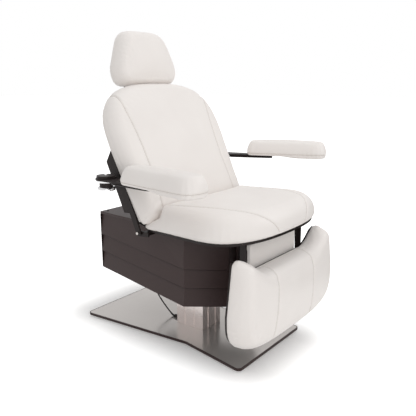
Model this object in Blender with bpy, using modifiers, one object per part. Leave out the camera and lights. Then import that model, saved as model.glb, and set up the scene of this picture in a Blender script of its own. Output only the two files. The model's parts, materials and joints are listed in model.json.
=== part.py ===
"""Spa treatment chair: a padded seat, reclining back and leg rest on an electric lifting column.

Metres, +Z up, the sitter faces -Y. Design coordinates have their zero on the floor under the middle of
the base plate, and the root empty moves them so that the origin lies under the middle of the whole chair.
"""
import math

import bmesh
import bpy
from mathutils import Matrix, Vector

# General
GAP = 0.0003                # between faces that touch
RUN = 0.0006                # running clearance of sliding and turning pieces
ARC_STEPS = 6               # segments of a rounded corner
ROUND = 20                  # sides of a round bar
WIDE_ROUND = 32             # sides of a disc
THIN_ROUND = 14             # sides of a pin or bolt
OVAL_STEPS = 14             # points of a quarter of a rounded outline
SHARP = 0.0001              # radius of a corner that stays sharp

# Base plate
PLATE_LENGTH = 0.990
PLATE_WIDTH = 0.546
PLATE_WAIST = 0.425
PLATE_WAIST_Y = -0.144
PLATE_CORNER = 0.022
PLATE_THICK = 0.012
TRIM_WIDTH = 0.004
FOOT_HEIGHT = 0.010
FOOT_RADIUS = 0.020
FOOT_INSET = 0.045

# Section of every padded form: insets and shares of the pad's height, then the rolled edge and the crown
PAD_SIDE = ((0.006, 0.0), (0.0015, 0.09), (0.0, 0.26))
PAD_ROLL = 5                # steps of the rolled edge
PAD_RINGS = (0.88, 0.72, 0.54, 0.36, 0.18)
EDGE_TIGHT = 0.8            # share of a corner's radius that the rolled edge may take up
EDGE_ROUNDS = 8
CROWN_ROUNDS = 5            # softening of the crown's rings, so that corners fade towards the middle
SEAT_SIDES = 72             # points round each pad
BACK_SIDES = 72
LEG_SIDES = 80
HEAD_SIDES = 48
ARM_SIDES = 44

# Lifting column
COLUMN_WIDTH = 0.144
COLUMN_DEPTH = 0.168
COLUMN_Y = -0.0545
COLUMN_WALL = 0.005
COLUMN_CORNER = 0.004
COLUMN_BOSS = 0.020
COLUMN_TOP = 0.430
GROOVE_WIDTH = 0.008
GROOVE_DEPTH = 0.0022
GROOVE_SPREAD = 0.060
GUIDE_HEIGHT = 0.010
SPINDLE_RADIUS = 0.010
SPINDLE_TOP = 0.410
INNER_FOOT = 0.105
INNER_WALL = 0.004
INNER_CLEAR = 0.0015
NUT_HEIGHT = 0.030

# Chassis
HEAD_Z = 0.505              # underside of the head plate
HEAD_THICK = 0.010
HEAD_SIDE = 0.012           # how far the head plate stands out round the column
HEAD_AHEAD = 0.015
HEAD_BEHIND = 0.010
HEAD_WAIST = 0.005
RAIL_X = 0.200
RAIL_WIDTH = 0.030
RAIL_HEIGHT = 0.040
RAIL_WALL = 0.003
RAIL_BEVEL = 0.003
RAIL_FRONT = -0.240
CROSS_DEPTH = 0.030

# Skirt
SKIRT_REAR_Y = 0.369
SKIRT_REAR_HALF = 0.252
SKIRT_KINK_HALF = 0.285
SKIRT_KINK_Y = -0.201
SKIRT_FRONT_HALF = 0.140
SKIRT_FRONT_Y = -0.340
SKIRT_REAR_BOTTOM = 0.307
SKIRT_SLOPE = math.radians(6.0)
SKIRT_TIER = 0.088
SKIRT_WALL = 0.003
SKIRT_TUCK = 0.001
SKIRT_NAMES = ("lower", "middle", "upper")
SKIRT_LAP = 0.010           # how far each tier stands proud of the one above
LID_TOP = 0.600
LID_THICK = 0.012
LID_BEVEL = 0.002
LID_FRONT_Y = 0.128

# Seat
SEAT_TILT = math.radians(1.9)
SEAT_FRONT_Y = -0.587
SEAT_FRONT_Z = 0.609        # top of the board at the front edge
SEAT_BOARD = 0.012
SEAT_REAR_Y = 0.000
SEAT_REAR_HALF = 0.345
SEAT_WIDE_HALF = 0.390
SEAT_WIDE_Y = -0.370
SEAT_CORNER = 0.045
SEAT_POWER = 2.6            # roundness of the front corners
SEAT_PAD = 0.112
SEAT_CROWN = 0.020
SEAT_EDGE = 0.085
SEAT_CLEAR = 0.004
SEAT_SQUEEZE = 0.200
BOARD_INSET = 0.012
RISER_REAR_Y = -0.040

# Apron under the seat front
APRON_HALF = 0.195
APRON_FRONT_Y = -0.490
APRON_THICK = 0.020
APRON_TOP = 0.566
APRON_BOTTOM = 0.435
APRON_FLANGE = 0.034
APRON_BEVEL = 0.006
BRACKET_WIDTH = 0.180
BRACKET_THICK = 0.004

# Back and its hinge
HINGE_Y = 0.000
HINGE_Z = 0.572
BACK_LEAN = math.radians(25.3)
BACK_FACE = -0.020          # rear face of the board, ahead of the hinge axis
BACK_BOARD = 0.014
BACK_FOOT = 0.030           # lower edge, up the back from the hinge
BACK_FOOT_HALF = 0.366
BACK_WIDE_HALF = 0.386
BACK_WIDE_S = 0.400
BACK_TOP_S = 0.690
BACK_POWER = 3.0
BACK_CORNER = 0.020
BACK_PAD = 0.082
BACK_CROWN = 0.014
BACK_EDGE = 0.056
RAIL_OUT = 0.358            # inner face of the back's side rails
SIDE_RAIL_THICK = 0.008
SIDE_RAIL_WIDTH = 0.060
SIDE_RAIL_LOW = 0.098
SIDE_RAIL_TOP = 0.400
SIDE_RAIL_TAPER = 0.042      # slope of the rails' upper end
SIDE_RAIL_HEEL = 0.012
TONGUE_WIDTH = 0.022
TONGUE_STEP = 0.004
TONGUE_HEEL = 0.006
CROSS_TUBE_RADIUS = 0.009
CROSS_TUBE_S = 0.075
PIN_RADIUS = 0.006
PIN_TAIL = 0.004
PIN_HEAD = 0.005
HINGE_PLATE = ((-0.055, -0.012), (0.0, -0.016), (0.014, -0.008), (0.014, 0.008), (-0.012, 0.010))
HINGE_WEB = (-0.054, -0.015, -0.006)        # front, rear and foot, from the axis
HINGE_BITE = 0.002
FLANGE_REACH = 0.040        # hinge bracket's flange under the seat board

# Armrests
ARM_BOLT_S = 0.252
ARM_BOLT_N = 0.024
ARM_DISC_X = 0.426
ARM_DISC_RADIUS = 0.047
ARM_PLATE_THICK = 0.008
ARM_RING_THICK = 0.008
ARM_RING_STEP = 0.002
ARM_BOSS_RADIUS = 0.030
ARM_BOSS_HEIGHT = 0.024
ARM_POST_RISE = {"left": 0.026, "right": 0.0}     # each arm's own height setting as pictured
ARM_HUB_RADIUS = 0.042
ARM_HUB_HEIGHT = 0.012
ARM_STUB_RADIUS = 0.011
ARM_STUB_BITE = 0.010       # how far the stub runs into the post
ARM_BOLT_RADIUS = 0.005
ARM_BOLT_REACH = 0.0186     # beyond the rail, into the stub
ARM_BOLT_ROOM = 0.0003
ARM_SPLAY = {"left": math.radians(22.0), "right": math.radians(5.5)}     # outward swing as pictured
ARM_PLATE_REACH = 0.310
ARM_PLATE_TIP = 0.012
ARM_PLATE_BEVEL = 0.0015
ARM_DISC_OPEN = math.radians(20.0)      # where the plate leaves its disc
ARM_DISC_STEPS = 18
ARM_PAD_START = 0.165
ARM_PAD_LENGTH = 0.424
ARM_PAD_WIDTH = 0.138
ARM_PAD_HEIGHT = 0.075
ARM_PAD_CROWN = 0.008
ARM_PAD_EDGE = 0.026
ARM_PAD_REAR = 0.127        # width at the rear
ARM_REAR_ROUND = 0.030
ARM_FRONT_ROUND = 0.052

# Headrest
BAR_X = 0.085
BAR_WIDTH = 0.024
BAR_THICK = 0.008
BAR_N = 0.026               # front face of the bars, behind the hinge axis line
BAR_LOW_S = 0.480
HEAD_HINGE_S = 0.765
SOCKET_LOW_S = 0.540
SOCKET_LENGTH = 0.110
SOCKET_WALL = 0.005
HEAD_LEAN = math.radians(9.0)
HEAD_FACE_Y = 0.3172         # rear face of the headrest board at its lower edge
HEAD_LOW_Z = 1.213
HEAD_HEIGHT = 0.256
HEAD_LOW_HALF = 0.194
HEAD_WIDE_HALF = 0.206
HEAD_TOP_HALF = 0.130
HEAD_WIDE_RISE = 0.076
HEAD_BOARD = 0.010
HEAD_PAD = 0.076
HEAD_CROWN = 0.018
HEAD_EDGE = 0.036
HEAD_HEART = 0.115          # height of the crown's middle
HEAD_CORNERS = (0.045, 0.060, 0.080)
KNUCKLE_RADIUS = 0.009
KNUCKLE_REACH = 0.020       # of the pivot tube beyond the bars
EAR_WIDTH = 0.008
EAR_ROUND = 0.013
EAR_LOW = 0.014
EAR_HIGH = 0.030
EAR_OUT = 0.010

# Leg rest
LEG_HINGE_Y = -0.480
LEG_HINGE_Z = 0.579
LEG_FACE_Y = -0.500         # rear face of the leg board at rest
LEG_BOARD = 0.012
LEG_LOW_Z = 0.134
LEG_WIDE_Z = 0.310
LEG_WIDE_HALF = 0.394
LEG_HORN_HALF = 0.350
LEG_HORN_Z = 0.548
LEG_HORN_OUT = 0.008
LEG_HORN_IN = 0.045
LEG_HORN_DROP = 0.020
LEG_HORN_ROUND = 0.017
LEG_DISH_STEPS = 8
LEG_DISH_POWER = 1.8
LEG_TOP_Z = 0.468
LEG_TOP_HALF = 0.190
LEG_POWER = 3.6
LEG_PAD = 0.082
LEG_CROWN = 0.012
LEG_EDGE = 0.038
LEG_ARM_X = 0.235
LEG_ARM_THICK = 0.008
LEG_TUBE_RADIUS = 0.008
LEG_ARM_FOOT = ((0.0, -0.060), (0.022, -0.040))
LEG_ARM_HEAD = ((0.013, -0.020), (0.0125, 0.0), (0.006, 0.009), (-0.006, 0.009), (-0.0125, 0.0))
LEG_ARM_NECK = 0.030
LEG_MOUNT_X = 0.222
LEG_MOUNT = ((-0.012, 0.0), (-0.008, -0.0115), (0.010, -0.0115))
LEG_LIP = (0.040, -0.008)   # the mount's flange under the board, behind and ahead of the axis
LEG_LIP_DROP = 0.012

# Power cord
CORD_RADIUS = 0.0035
CORD_SPACING = 0.0175       # between the points of its path
CURVE_STEPS = 24
GLAND_RADIUS = 0.008
GLAND_LENGTH = 0.028
GLAND_SPOT = (-0.030, 0.078)
RELIEF_SPOT = (0.075, 0.245)
RELIEF_WIDTH = 0.022
CORD_LEAD = 0.020
CORD_BELLY = ((-0.036, 0.146, 0.075), (-0.041, 0.190, 0.128), (-0.044, 0.226, 0.200),
              (-0.045, 0.242, 0.290))
CORD_SLACK = ((-0.045, 0.248, 0.360), (-0.045, 0.250, 0.440), (-0.015, 0.250, 0.478),
              (0.015, 0.250, 0.440), (0.015, 0.250, 0.370), (0.045, 0.252, 0.335),
              (0.075, 0.254, 0.370), (0.075, 0.256, 0.440))

# Sizes that follow
PLATE_TOP = FOOT_HEIGHT + PLATE_THICK
HEAD_TOP = HEAD_Z + HEAD_THICK
RAIL_LOW = HEAD_TOP + GAP
RAIL_TOP = RAIL_LOW + RAIL_HEIGHT
RAIL_REAR = SKIRT_REAR_Y - SKIRT_WALL - GAP
BOARD_FALL = math.tan(SEAT_TILT)
BACK_AXES = Matrix(((1, 0, 0, 0),
                    (0, math.sin(BACK_LEAN), math.cos(BACK_LEAN), HINGE_Y),
                    (0, math.cos(BACK_LEAN), -math.sin(BACK_LEAN), HINGE_Z),
                    (0, 0, 0, 1)))
ARM_Z = (BACK_AXES @ Vector((0, ARM_BOLT_S, ARM_BOLT_N)))[2]
ARM_Y = (BACK_AXES @ Vector((0, ARM_BOLT_S, ARM_BOLT_N)))[1]

for leftover in list(bpy.data.objects):
    bpy.data.objects.remove(leftover)
PARTS = bpy.data.collections.new("spa_treatment_chair")
CUTTERS = bpy.data.collections.new("cutters")
bpy.context.scene.collection.children.link(PARTS)
bpy.context.scene.collection.children.link(CUTTERS)


def material(name, color, roughness, metallic=0.0):
    """A plain finish for the solids."""
    made = bpy.data.materials.new(name)
    made.use_nodes = True
    shader = made.node_tree.nodes["Principled BSDF"]
    shader.inputs["Base Color"].default_value = (*color, 1.0)
    shader.inputs["Roughness"].default_value = roughness
    shader.inputs["Metallic"].default_value = metallic
    return made


STEEL = material("brushed_stainless_steel", (0.55, 0.53, 0.51), 0.25, 1.0)
ALLOY = material("satin_anodised_aluminium", (0.62, 0.58, 0.56), 0.35, 1.0)
BRONZE = material("dark_bronze_powder_coat", (0.068, 0.050, 0.047), 0.45)
BLACK = material("black_coated_steel", (0.024, 0.018, 0.018), 0.4)
RUBBER = material("black_rubber", (0.02, 0.02, 0.02), 0.8)
VINYL = material("warm_white_vinyl", (0.83, 0.79, 0.76), 0.45)
PLASTIC = material("dark_plastic", (0.04, 0.035, 0.035), 0.5)
CHROME = material("polished_chrome", (0.75, 0.75, 0.75), 0.1, 1.0)
BRASS = material("brass", (0.55, 0.38, 0.18), 0.3, 1.0)

EMPTIES = {}


def joint_empty(name, spot, parent=None):
    """An empty on a joint's axis, at a place in design coordinates."""
    empty = bpy.data.objects.new(name, None)
    PARTS.objects.link(empty)
    base = Vector((0, 0, 0))
    if parent:
        empty.parent = EMPTIES[parent][0]
        base = EMPTIES[parent][1]
    empty.location = Vector(spot) - base
    EMPTIES[name] = (empty, Vector(spot))


def add(name, mesh, finish, parent, matrix=Matrix()):
    """Link a mesh as a named part that moves with one of the empties."""
    mesh.name = name
    mesh.transform(matrix)
    if matrix.determinant() < 0:
        mesh.flip_normals()
    made = bpy.data.objects.new(name, mesh)
    PARTS.objects.link(made)
    mesh.materials.clear()
    mesh.materials.append(finish)
    empty, spot = EMPTIES[parent]
    made.parent = empty
    made.matrix_parent_inverse = Matrix.Translation(-spot)
    return made


def bevel(made, width, segments=2, angle=40):
    """Round the edges of a part."""
    mod = made.modifiers.new("edges", "BEVEL")
    mod.width = width
    mod.segments = segments
    mod.limit_method = "ANGLE"
    mod.angle_limit = math.radians(angle)
    return made


def slab(splines, thickness):
    """Mesh of flat outlines, the first with the others as holes, extruded from z = 0 to the thickness."""
    curve = bpy.data.curves.new("outline", "CURVE")
    curve.dimensions = "2D"
    curve.fill_mode = "BOTH"
    curve.extrude = thickness / 2
    for points in splines:
        spline = curve.splines.new("POLY")
        spline.points.add(len(points) - 1)
        for spot, point in zip(spline.points, points):
            spot.co = (point[0], point[1], 0, 1)
        spline.use_cyclic_u = True
    holder = bpy.data.objects.new("outline", curve)
    CUTTERS.objects.link(holder)
    bpy.context.view_layer.update()
    mesh = bpy.data.meshes.new_from_object(holder.evaluated_get(bpy.context.evaluated_depsgraph_get()))
    bpy.data.objects.remove(holder)
    return welded(mesh, Matrix.Translation((0, 0, thickness / 2)))


def welded(mesh, matrix=Matrix()):
    """Merge a mesh's loose caps and point its faces outwards."""
    made = bmesh.new()
    made.from_mesh(mesh)
    bmesh.ops.remove_doubles(made, verts=made.verts, dist=0.00001)
    bmesh.ops.recalc_face_normals(made, faces=made.faces)
    made.to_mesh(mesh)
    made.free()
    mesh.transform(matrix)
    return mesh


def block(low, high):
    """Mesh of a box between two corners."""
    made = bmesh.new()
    size = [b - a for a, b in zip(low, high)]
    middle = [(a + b) / 2 for a, b in zip(low, high)]
    bmesh.ops.create_cube(made, size=1.0, matrix=Matrix.LocRotScale(middle, None, size))
    mesh = bpy.data.meshes.new("block")
    made.to_mesh(mesh)
    made.free()
    return mesh


def rod(radius, start, end, sides=ROUND):
    """Mesh of a round bar between two points."""
    run = Vector(end) - Vector(start)
    turn = Vector((0, 0, 1)).rotation_difference(run).to_matrix().to_4x4()
    middle = Matrix.Translation((Vector(start) + Vector(end)) / 2)
    made = bmesh.new()
    bmesh.ops.create_cone(made, cap_ends=True, segments=sides, radius1=radius, radius2=radius,
                          depth=run.length, matrix=middle @ turn)
    mesh = bpy.data.meshes.new("rod")
    made.to_mesh(mesh)
    made.free()
    return mesh


def boolean(made, mesh, operation):
    """Cut a mesh out of a part, or fuse it to the part."""
    tool = bpy.data.objects.new(made.name + "_tool", mesh)
    CUTTERS.objects.link(tool)
    tool.hide_render = True
    tool.display_type = "WIRE"
    tool.parent = made.parent
    tool.matrix_parent_inverse = made.matrix_parent_inverse
    mod = made.modifiers.new(operation.lower(), "BOOLEAN")
    mod.operation = operation
    mod.object = tool
    return made


def circle(radius, middle=(0, 0), sides=ROUND):
    """Points round a circle."""
    turns = [2 * math.pi * k / sides for k in range(sides)]
    return [(middle[0] + radius * math.cos(t), middle[1] + radius * math.sin(t)) for t in turns]


def rectangle(half_x, half_y, middle=(0, 0)):
    """Corners of a rectangle."""
    x, y = middle
    return [(x - half_x, y - half_y), (x + half_x, y - half_y), (x + half_x, y + half_y),
            (x - half_x, y + half_y)]


def rounded(corners, radii, steps=ARC_STEPS):
    """An outline whose corners are rounded by arcs, with one radius or one for each corner."""
    if not isinstance(radii, (list, tuple)):
        radii = [radii] * len(corners)
    outline = []
    for k, corner in enumerate(corners):
        spot = Vector(corner)
        back = (Vector(corners[k - 1]) - spot).normalized()
        ahead = (Vector(corners[(k + 1) % len(corners)]) - spot).normalized()
        half = back.angle(ahead) / 2
        reach = radii[k] / math.tan(half)
        middle = spot + (back + ahead).normalized() * (radii[k] / math.sin(half))
        start = spot + back * reach - middle
        sweep = start.angle_signed(spot + ahead * reach - middle)
        for step in range(steps + 1):
            turn = -sweep * step / steps
            outline.append((middle.x + start.x * math.cos(turn) - start.y * math.sin(turn),
                            middle.y + start.x * math.sin(turn) + start.y * math.cos(turn)))
    return outline


def normals(outline):
    """Outward unit normals of an anticlockwise closed outline, with the stretch that keeps an offset even."""
    found = []
    count = len(outline)
    for k in range(count):
        before = Vector(outline[k]) - Vector(outline[k - 1])
        after = Vector(outline[(k + 1) % count]) - Vector(outline[k])
        first = Vector((before.y, -before.x)).normalized()
        second = Vector((after.y, -after.x)).normalized()
        middle = (first + second).normalized()
        found.append(middle / max(middle.dot(first), 0.5))
    return found


def inset(outline, distance):
    """The outline moved inwards by an even distance."""
    return [tuple(Vector(p) - n * distance) for p, n in zip(outline, normals(outline))]


def mirrored(half):
    """A closed anticlockwise outline from its right half, listed from the lowest point to the highest."""
    return half + [(-x, y) for x, y in reversed(half) if abs(x) > 0.0001]


def resampled(outline, count):
    """The outline read at evenly spaced points."""
    closed = outline + outline[:1]
    reach = [0.0]
    for a, b in zip(closed, closed[1:]):
        reach.append(reach[-1] + math.dist(a, b))
    points = []
    seg = 0
    for k in range(count):
        goal = reach[-1] * k / count
        while reach[seg + 1] < goal:
            seg += 1
        share = (goal - reach[seg]) / (reach[seg + 1] - reach[seg])
        points.append(tuple(Vector(closed[seg]).lerp(Vector(closed[seg + 1]), share)))
    return points


def relaxed(points, times):
    """A closed outline with its corners softened by averaging neighbours."""
    for _ in range(times):
        before, after = points[-1:] + points[:-1], points[1:] + points[:1]
        points = [(x / 2 + (a + b) / 4, y / 2 + (c + d) / 4)
                  for (x, y), (a, c), (b, d) in zip(points, before, after)]
    return points


def edge_depths(rim, edge):
    """How far the rolled edge reaches in from each rim point: less where the outline turns tightly."""
    count = len(rim)
    depths = []
    for k in range(count):
        before = Vector(rim[k]) - Vector(rim[k - 1])
        after = Vector(rim[(k + 1) % count]) - Vector(rim[k])
        turn = math.atan2(before.x * after.y - before.y * after.x, before.dot(after))
        bend = 2 * turn / (before.length + after.length)
        depths.append(min(edge, EDGE_TIGHT / bend) if bend > 0 else edge)
    for _ in range(EDGE_ROUNDS):
        depths = [min(d, (depths[k - 1] + 2 * d + depths[(k + 1) % count]) / 4)
                  for k, d in enumerate(depths)]
    return depths


def cushion(outline, pad, crown, heart, edge, sides):
    """Mesh of a padded form on the plane z = 0: drawn-in foot, rolled edge and crowned top."""
    rim = resampled(outline, sides)
    inward = [-n for n in normals(rim)]
    depths = edge_depths(rim, edge)
    loops = [[(x, y, z * pad) for x, y in inset(rim, d)] for d, z in PAD_SIDE]
    low = PAD_SIDE[-1][1]
    for k in range(1, PAD_ROLL + 1):
        turn = math.pi / 2 * k / PAD_ROLL
        ring = [(x + n.x * d * (1 - math.cos(turn)), y + n.y * d * (1 - math.cos(turn)))
                for (x, y), n, d in zip(rim, inward, depths)]
        ring = relaxed(ring, k)
        loops.append([(x, y, pad * (low + (1 - low) * math.sin(turn))) for x, y in ring])
    for times, share in enumerate(PAD_RINGS, 1):
        softer = relaxed(ring, CROWN_ROUNDS * times * times)
        loops.append([(heart[0] + (x - heart[0]) * share, heart[1] + (y - heart[1]) * share,
                       pad + crown * (1 - share ** 2)) for x, y in softer])
    made = bmesh.new()
    rows = [[made.verts.new(p) for p in loop] for loop in loops]
    made.faces.new(list(reversed(rows[0])))
    for low, high in zip(rows, rows[1:]):
        for k in range(sides):
            made.faces.new((low[k], low[(k + 1) % sides], high[(k + 1) % sides], high[k]))
    top = made.verts.new((heart[0], heart[1], pad + crown))
    for k in range(sides):
        made.faces.new((rows[-1][k], rows[-1][(k + 1) % sides], top))
    mesh = bpy.data.meshes.new("cushion")
    made.to_mesh(mesh)
    made.free()
    mesh.shade_smooth()
    return mesh


def frame_matrix(across, up, out, spot):
    """Placing matrix whose columns are the directions of a piece's own x, y and z."""
    return Matrix.Translation(spot) @ Matrix((across, up, out)).transposed().to_4x4()


SIDES = {"left": 1, "right": -1}
ALONG_X = frame_matrix((0, 1, 0), (0, 0, 1), (1, 0, 0), (0, 0, 0))     # outline in YZ, thickness along X

joint_empty("chair_root", (0, 0, 0))
joint_empty("lift_axis", (0, COLUMN_Y, PLATE_TOP), "chair_root")
joint_empty("recline_axis", (0, HINGE_Y, HINGE_Z), "lift_axis")
joint_empty("leg_axis", (0, LEG_HINGE_Y, LEG_HINGE_Z), "lift_axis")
for side, sign in SIDES.items():
    joint_empty(side + "_arm_level_axis", (sign * RAIL_OUT, ARM_Y, ARM_Z), "recline_axis")
    joint_empty(side + "_arm_swing_axis", (sign * ARM_DISC_X, ARM_Y, ARM_Z), side + "_arm_level_axis")
HEAD_AXIS = BACK_AXES @ Vector((0, HEAD_HINGE_S, BAR_N + BAR_THICK / 2))
joint_empty("headrest_slide_axis", tuple(HEAD_AXIS), "recline_axis")
joint_empty("headrest_tilt_axis", tuple(HEAD_AXIS), "headrest_slide_axis")


def board_z(y):
    """Height of the seat board's top at a place along the chair."""
    return SEAT_FRONT_Z - (y - SEAT_FRONT_Y) * BOARD_FALL


def build_base():
    """Plate, trim, feet, the column's tubes, and its spindle and nut."""
    half, waist, end = PLATE_WIDTH / 2, PLATE_WAIST / 2, PLATE_LENGTH / 2
    corners = [(-half, -end), (half, -end), (waist, PLATE_WAIST_Y), (half, end), (-half, end),
               (-waist, PLATE_WAIST_Y)]
    outer = rounded(corners, PLATE_CORNER)
    inner = inset(outer, TRIM_WIDTH)
    raised = Matrix.Translation((0, 0, FOOT_HEIGHT))
    add("base_plate", slab([inset(inner, GAP)], PLATE_THICK), STEEL, "chair_root", raised)
    add("base_edge_trim", slab([outer, inner], PLATE_THICK), BRONZE, "chair_root", raised)
    spots = [(x * (half - FOOT_INSET), y * (end - FOOT_INSET)) for x in (-1, 1) for y in (-1, 1)]
    for (x, y), name in zip(spots, ("front_right", "rear_right", "front_left", "rear_left")):
        add(name + "_foot", rod(FOOT_RADIUS, (x, y, 0), (x, y, FOOT_HEIGHT - GAP)), RUBBER, "chair_root")

    face = grooved(COLUMN_WIDTH / 2, COLUMN_DEPTH / 2)
    bore = chamfered(COLUMN_WIDTH / 2 - COLUMN_WALL, COLUMN_DEPTH / 2 - COLUMN_WALL, COLUMN_BOSS)
    stand = Matrix.Translation((0, 0, PLATE_TOP + GAP))
    add("column_outer", slab([face, bore], COLUMN_TOP - PLATE_TOP - GAP), ALLOY, "chair_root", stand)
    tube = inset(bore, INNER_CLEAR)
    collar = rounded(rectangle(COLUMN_WIDTH / 2, COLUMN_DEPTH / 2, (0, COLUMN_Y)), COLUMN_CORNER)
    add("column_guide", slab([collar, inset(tube, -RUN)], GUIDE_HEIGHT), PLASTIC, "chair_root",
        Matrix.Translation((0, 0, COLUMN_TOP + GAP)))
    add("lift_spindle", rod(SPINDLE_RADIUS, (0, COLUMN_Y, PLATE_TOP + GAP), (0, COLUMN_Y, SPINDLE_TOP)),
        STEEL, "chair_root")
    add("column_inner", slab([tube, inset(tube, INNER_WALL)], HEAD_Z - GAP - INNER_FOOT), ALLOY, "lift_axis",
        Matrix.Translation((0, 0, INNER_FOOT)))
    nut = [inset(tube, INNER_WALL + GAP), circle(SPINDLE_RADIUS + RUN, (0, COLUMN_Y))]
    add("lift_nut", slab(nut, NUT_HEIGHT), BRASS, "lift_axis", Matrix.Translation((0, 0, INNER_FOOT)))


def grooved(half_x, half_y):
    """Outline of the column's outer face with two upright grooves in each side."""
    def side(start, along, out, length):
        points = []
        for offset in (-GROOVE_SPREAD / 2, GROOVE_SPREAD / 2):
            middle = length / 2 + offset
            for step, depth in ((-0.5, 0), (-0.5, 1), (0.5, 1), (0.5, 0)):
                reach = middle + step * GROOVE_WIDTH
                points.append((start[0] + along[0] * reach - out[0] * depth * GROOVE_DEPTH,
                               start[1] + along[1] * reach - out[1] * depth * GROOVE_DEPTH))
        return points
    corners = rectangle(half_x, half_y, (0, COLUMN_Y))
    outs = ((0, -1), (1, 0), (0, 1), (-1, 0))
    outline = []
    for k, out in enumerate(outs):
        a, b = Vector(corners[k]), Vector(corners[(k + 1) % 4])
        outline.append(tuple(a))
        outline += side(a, (b - a).normalized(), out, (b - a).length)
    return outline


def chamfered(half_x, half_y, cut):
    """Outline of the column's bore, with its corners cut off."""
    outline = []
    for k, (x, y) in enumerate(rectangle(half_x, half_y)):
        first, second = ((0, -1 if y > 0 else 1), (-1 if x > 0 else 1, 0))
        if k in (1, 3):
            first, second = second, first
        for step in (first, second):
            outline.append((x + step[0] * cut, COLUMN_Y + y + step[1] * cut))
    return outline


def under_board(y):
    """Height of the seat board's underside, less the gap under it, at a place along the chair."""
    return board_z(y) - SEAT_BOARD / math.cos(SEAT_TILT) - GAP


def build_chassis():
    """Head plate, rails and cross members."""
    wide, slim = RAIL_X + RAIL_WIDTH / 2, COLUMN_WIDTH / 2 + HEAD_SIDE
    front, rear = COLUMN_Y - COLUMN_DEPTH / 2 - HEAD_AHEAD, COLUMN_Y + COLUMN_DEPTH / 2 + HEAD_BEHIND
    waist = COLUMN_Y + HEAD_WAIST
    outline = [(-wide, front), (wide, front), (wide, waist), (slim, waist), (slim, rear), (-slim, rear),
               (-slim, waist), (-wide, waist)]
    add("head_plate", slab([outline], HEAD_THICK), BLACK, "lift_axis", Matrix.Translation((0, 0, HEAD_Z)))
    middle = RAIL_LOW + RAIL_HEIGHT / 2
    for side, sign in SIDES.items():
        edge = [(RAIL_FRONT, RAIL_LOW), (RAIL_REAR, RAIL_LOW), (RAIL_REAR, RAIL_TOP),
                (RISER_REAR_Y, RAIL_TOP)]
        edge += [(y, under_board(y)) for y in (RISER_REAR_Y, RAIL_FRONT)]
        place = Matrix.Translation((sign * RAIL_X - RAIL_WIDTH / 2, 0, 0)) @ ALONG_X
        bevel(add(side + "_chassis_rail", slab([edge], RAIL_WIDTH), BLACK, "lift_axis", place), RAIL_BEVEL)
    span = RAIL_X - RAIL_WIDTH / 2 - GAP
    for name, y in (("front", RAIL_FRONT + CROSS_DEPTH / 2), ("rear", RAIL_REAR - CROSS_DEPTH / 2)):
        section = rectangle(CROSS_DEPTH / 2, RAIL_HEIGHT / 2, (y, middle))
        place = Matrix.Translation((-span, 0, 0)) @ ALONG_X
        tube = slab([section, inset(section, RAIL_WALL)], 2 * span)
        add(name + "_cross_member", tube, BLACK, "lift_axis", place)


def skirt_line(drop):
    """A skirt edge on the left side from the rear corner to the front, some tiers above the foot."""
    fall = math.tan(SKIRT_SLOPE)
    plan = [(SKIRT_REAR_HALF, SKIRT_REAR_Y - SKIRT_WALL - GAP), (SKIRT_KINK_HALF, SKIRT_KINK_Y),
            (SKIRT_FRONT_HALF, SKIRT_FRONT_Y)]
    return [(x, y, SKIRT_REAR_BOTTOM + drop * SKIRT_TIER - (SKIRT_REAR_Y - y) * fall) for x, y in plan]


def skirt_tier(level):
    """Sheet of one louvre tier: its lower edge stands proud, its upper edge tucks behind the next."""
    low, high = skirt_line(level), skirt_line(level + 1)
    ceiling = LID_TOP - LID_THICK - GAP
    if level == len(SKIRT_NAMES) - 1:
        high = [(x, y, min(ceiling, board_z(y) - SEAT_BOARD - 2 * GAP - SKIRT_WALL)) for x, y, z in high]
        high[0] = (high[0][0], high[0][1], ceiling)
        seam = (SKIRT_REAR_HALF + (SKIRT_KINK_HALF - SKIRT_REAR_HALF) * (SKIRT_REAR_Y - LID_FRONT_Y)
                / (SKIRT_REAR_Y - SKIRT_KINK_Y), LID_FRONT_Y)
        fall = math.tan(SKIRT_SLOPE)
        low.insert(1, (*seam, SKIRT_REAR_BOTTOM + level * SKIRT_TIER - (SKIRT_REAR_Y - seam[1]) * fall))
        high.insert(1, (*seam, ceiling))
        drop_y = RISER_REAR_Y
        share = (SKIRT_REAR_Y - drop_y) / (SKIRT_REAR_Y - SKIRT_KINK_Y)
        spot = (SKIRT_REAR_HALF + (SKIRT_KINK_HALF - SKIRT_REAR_HALF) * share, drop_y)
        low.insert(2, (*spot, SKIRT_REAR_BOTTOM + level * SKIRT_TIER - (SKIRT_REAR_Y - drop_y) * fall))
        high.insert(2, (*spot, RAIL_TOP))
    else:
        high = [(x, y, z - GAP - SKIRT_TUCK) for x, y, z in high]
    flat = [(x, y) for x, y, z in low]
    out = open_normals(flat)
    made = bmesh.new()
    rows = []
    for points, push in ((low, SKIRT_LAP), (low, SKIRT_LAP - SKIRT_WALL), (high, -SKIRT_WALL), (high, 0.0)):
        rows.append([made.verts.new((x + n.x * push, y + n.y * push, z))
                     for (x, y, z), n in zip(points, out)])
    for a, b in zip(rows, rows[1:] + rows[:1]):
        for k in range(len(a) - 1):
            made.faces.new((a[k], a[k + 1], b[k + 1], b[k]))
    for k in (0, -1):
        made.faces.new([row[k] for row in rows])
    bmesh.ops.recalc_face_normals(made, faces=made.faces)
    mesh = bpy.data.meshes.new("tier")
    made.to_mesh(mesh)
    made.free()
    return mesh


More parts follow.
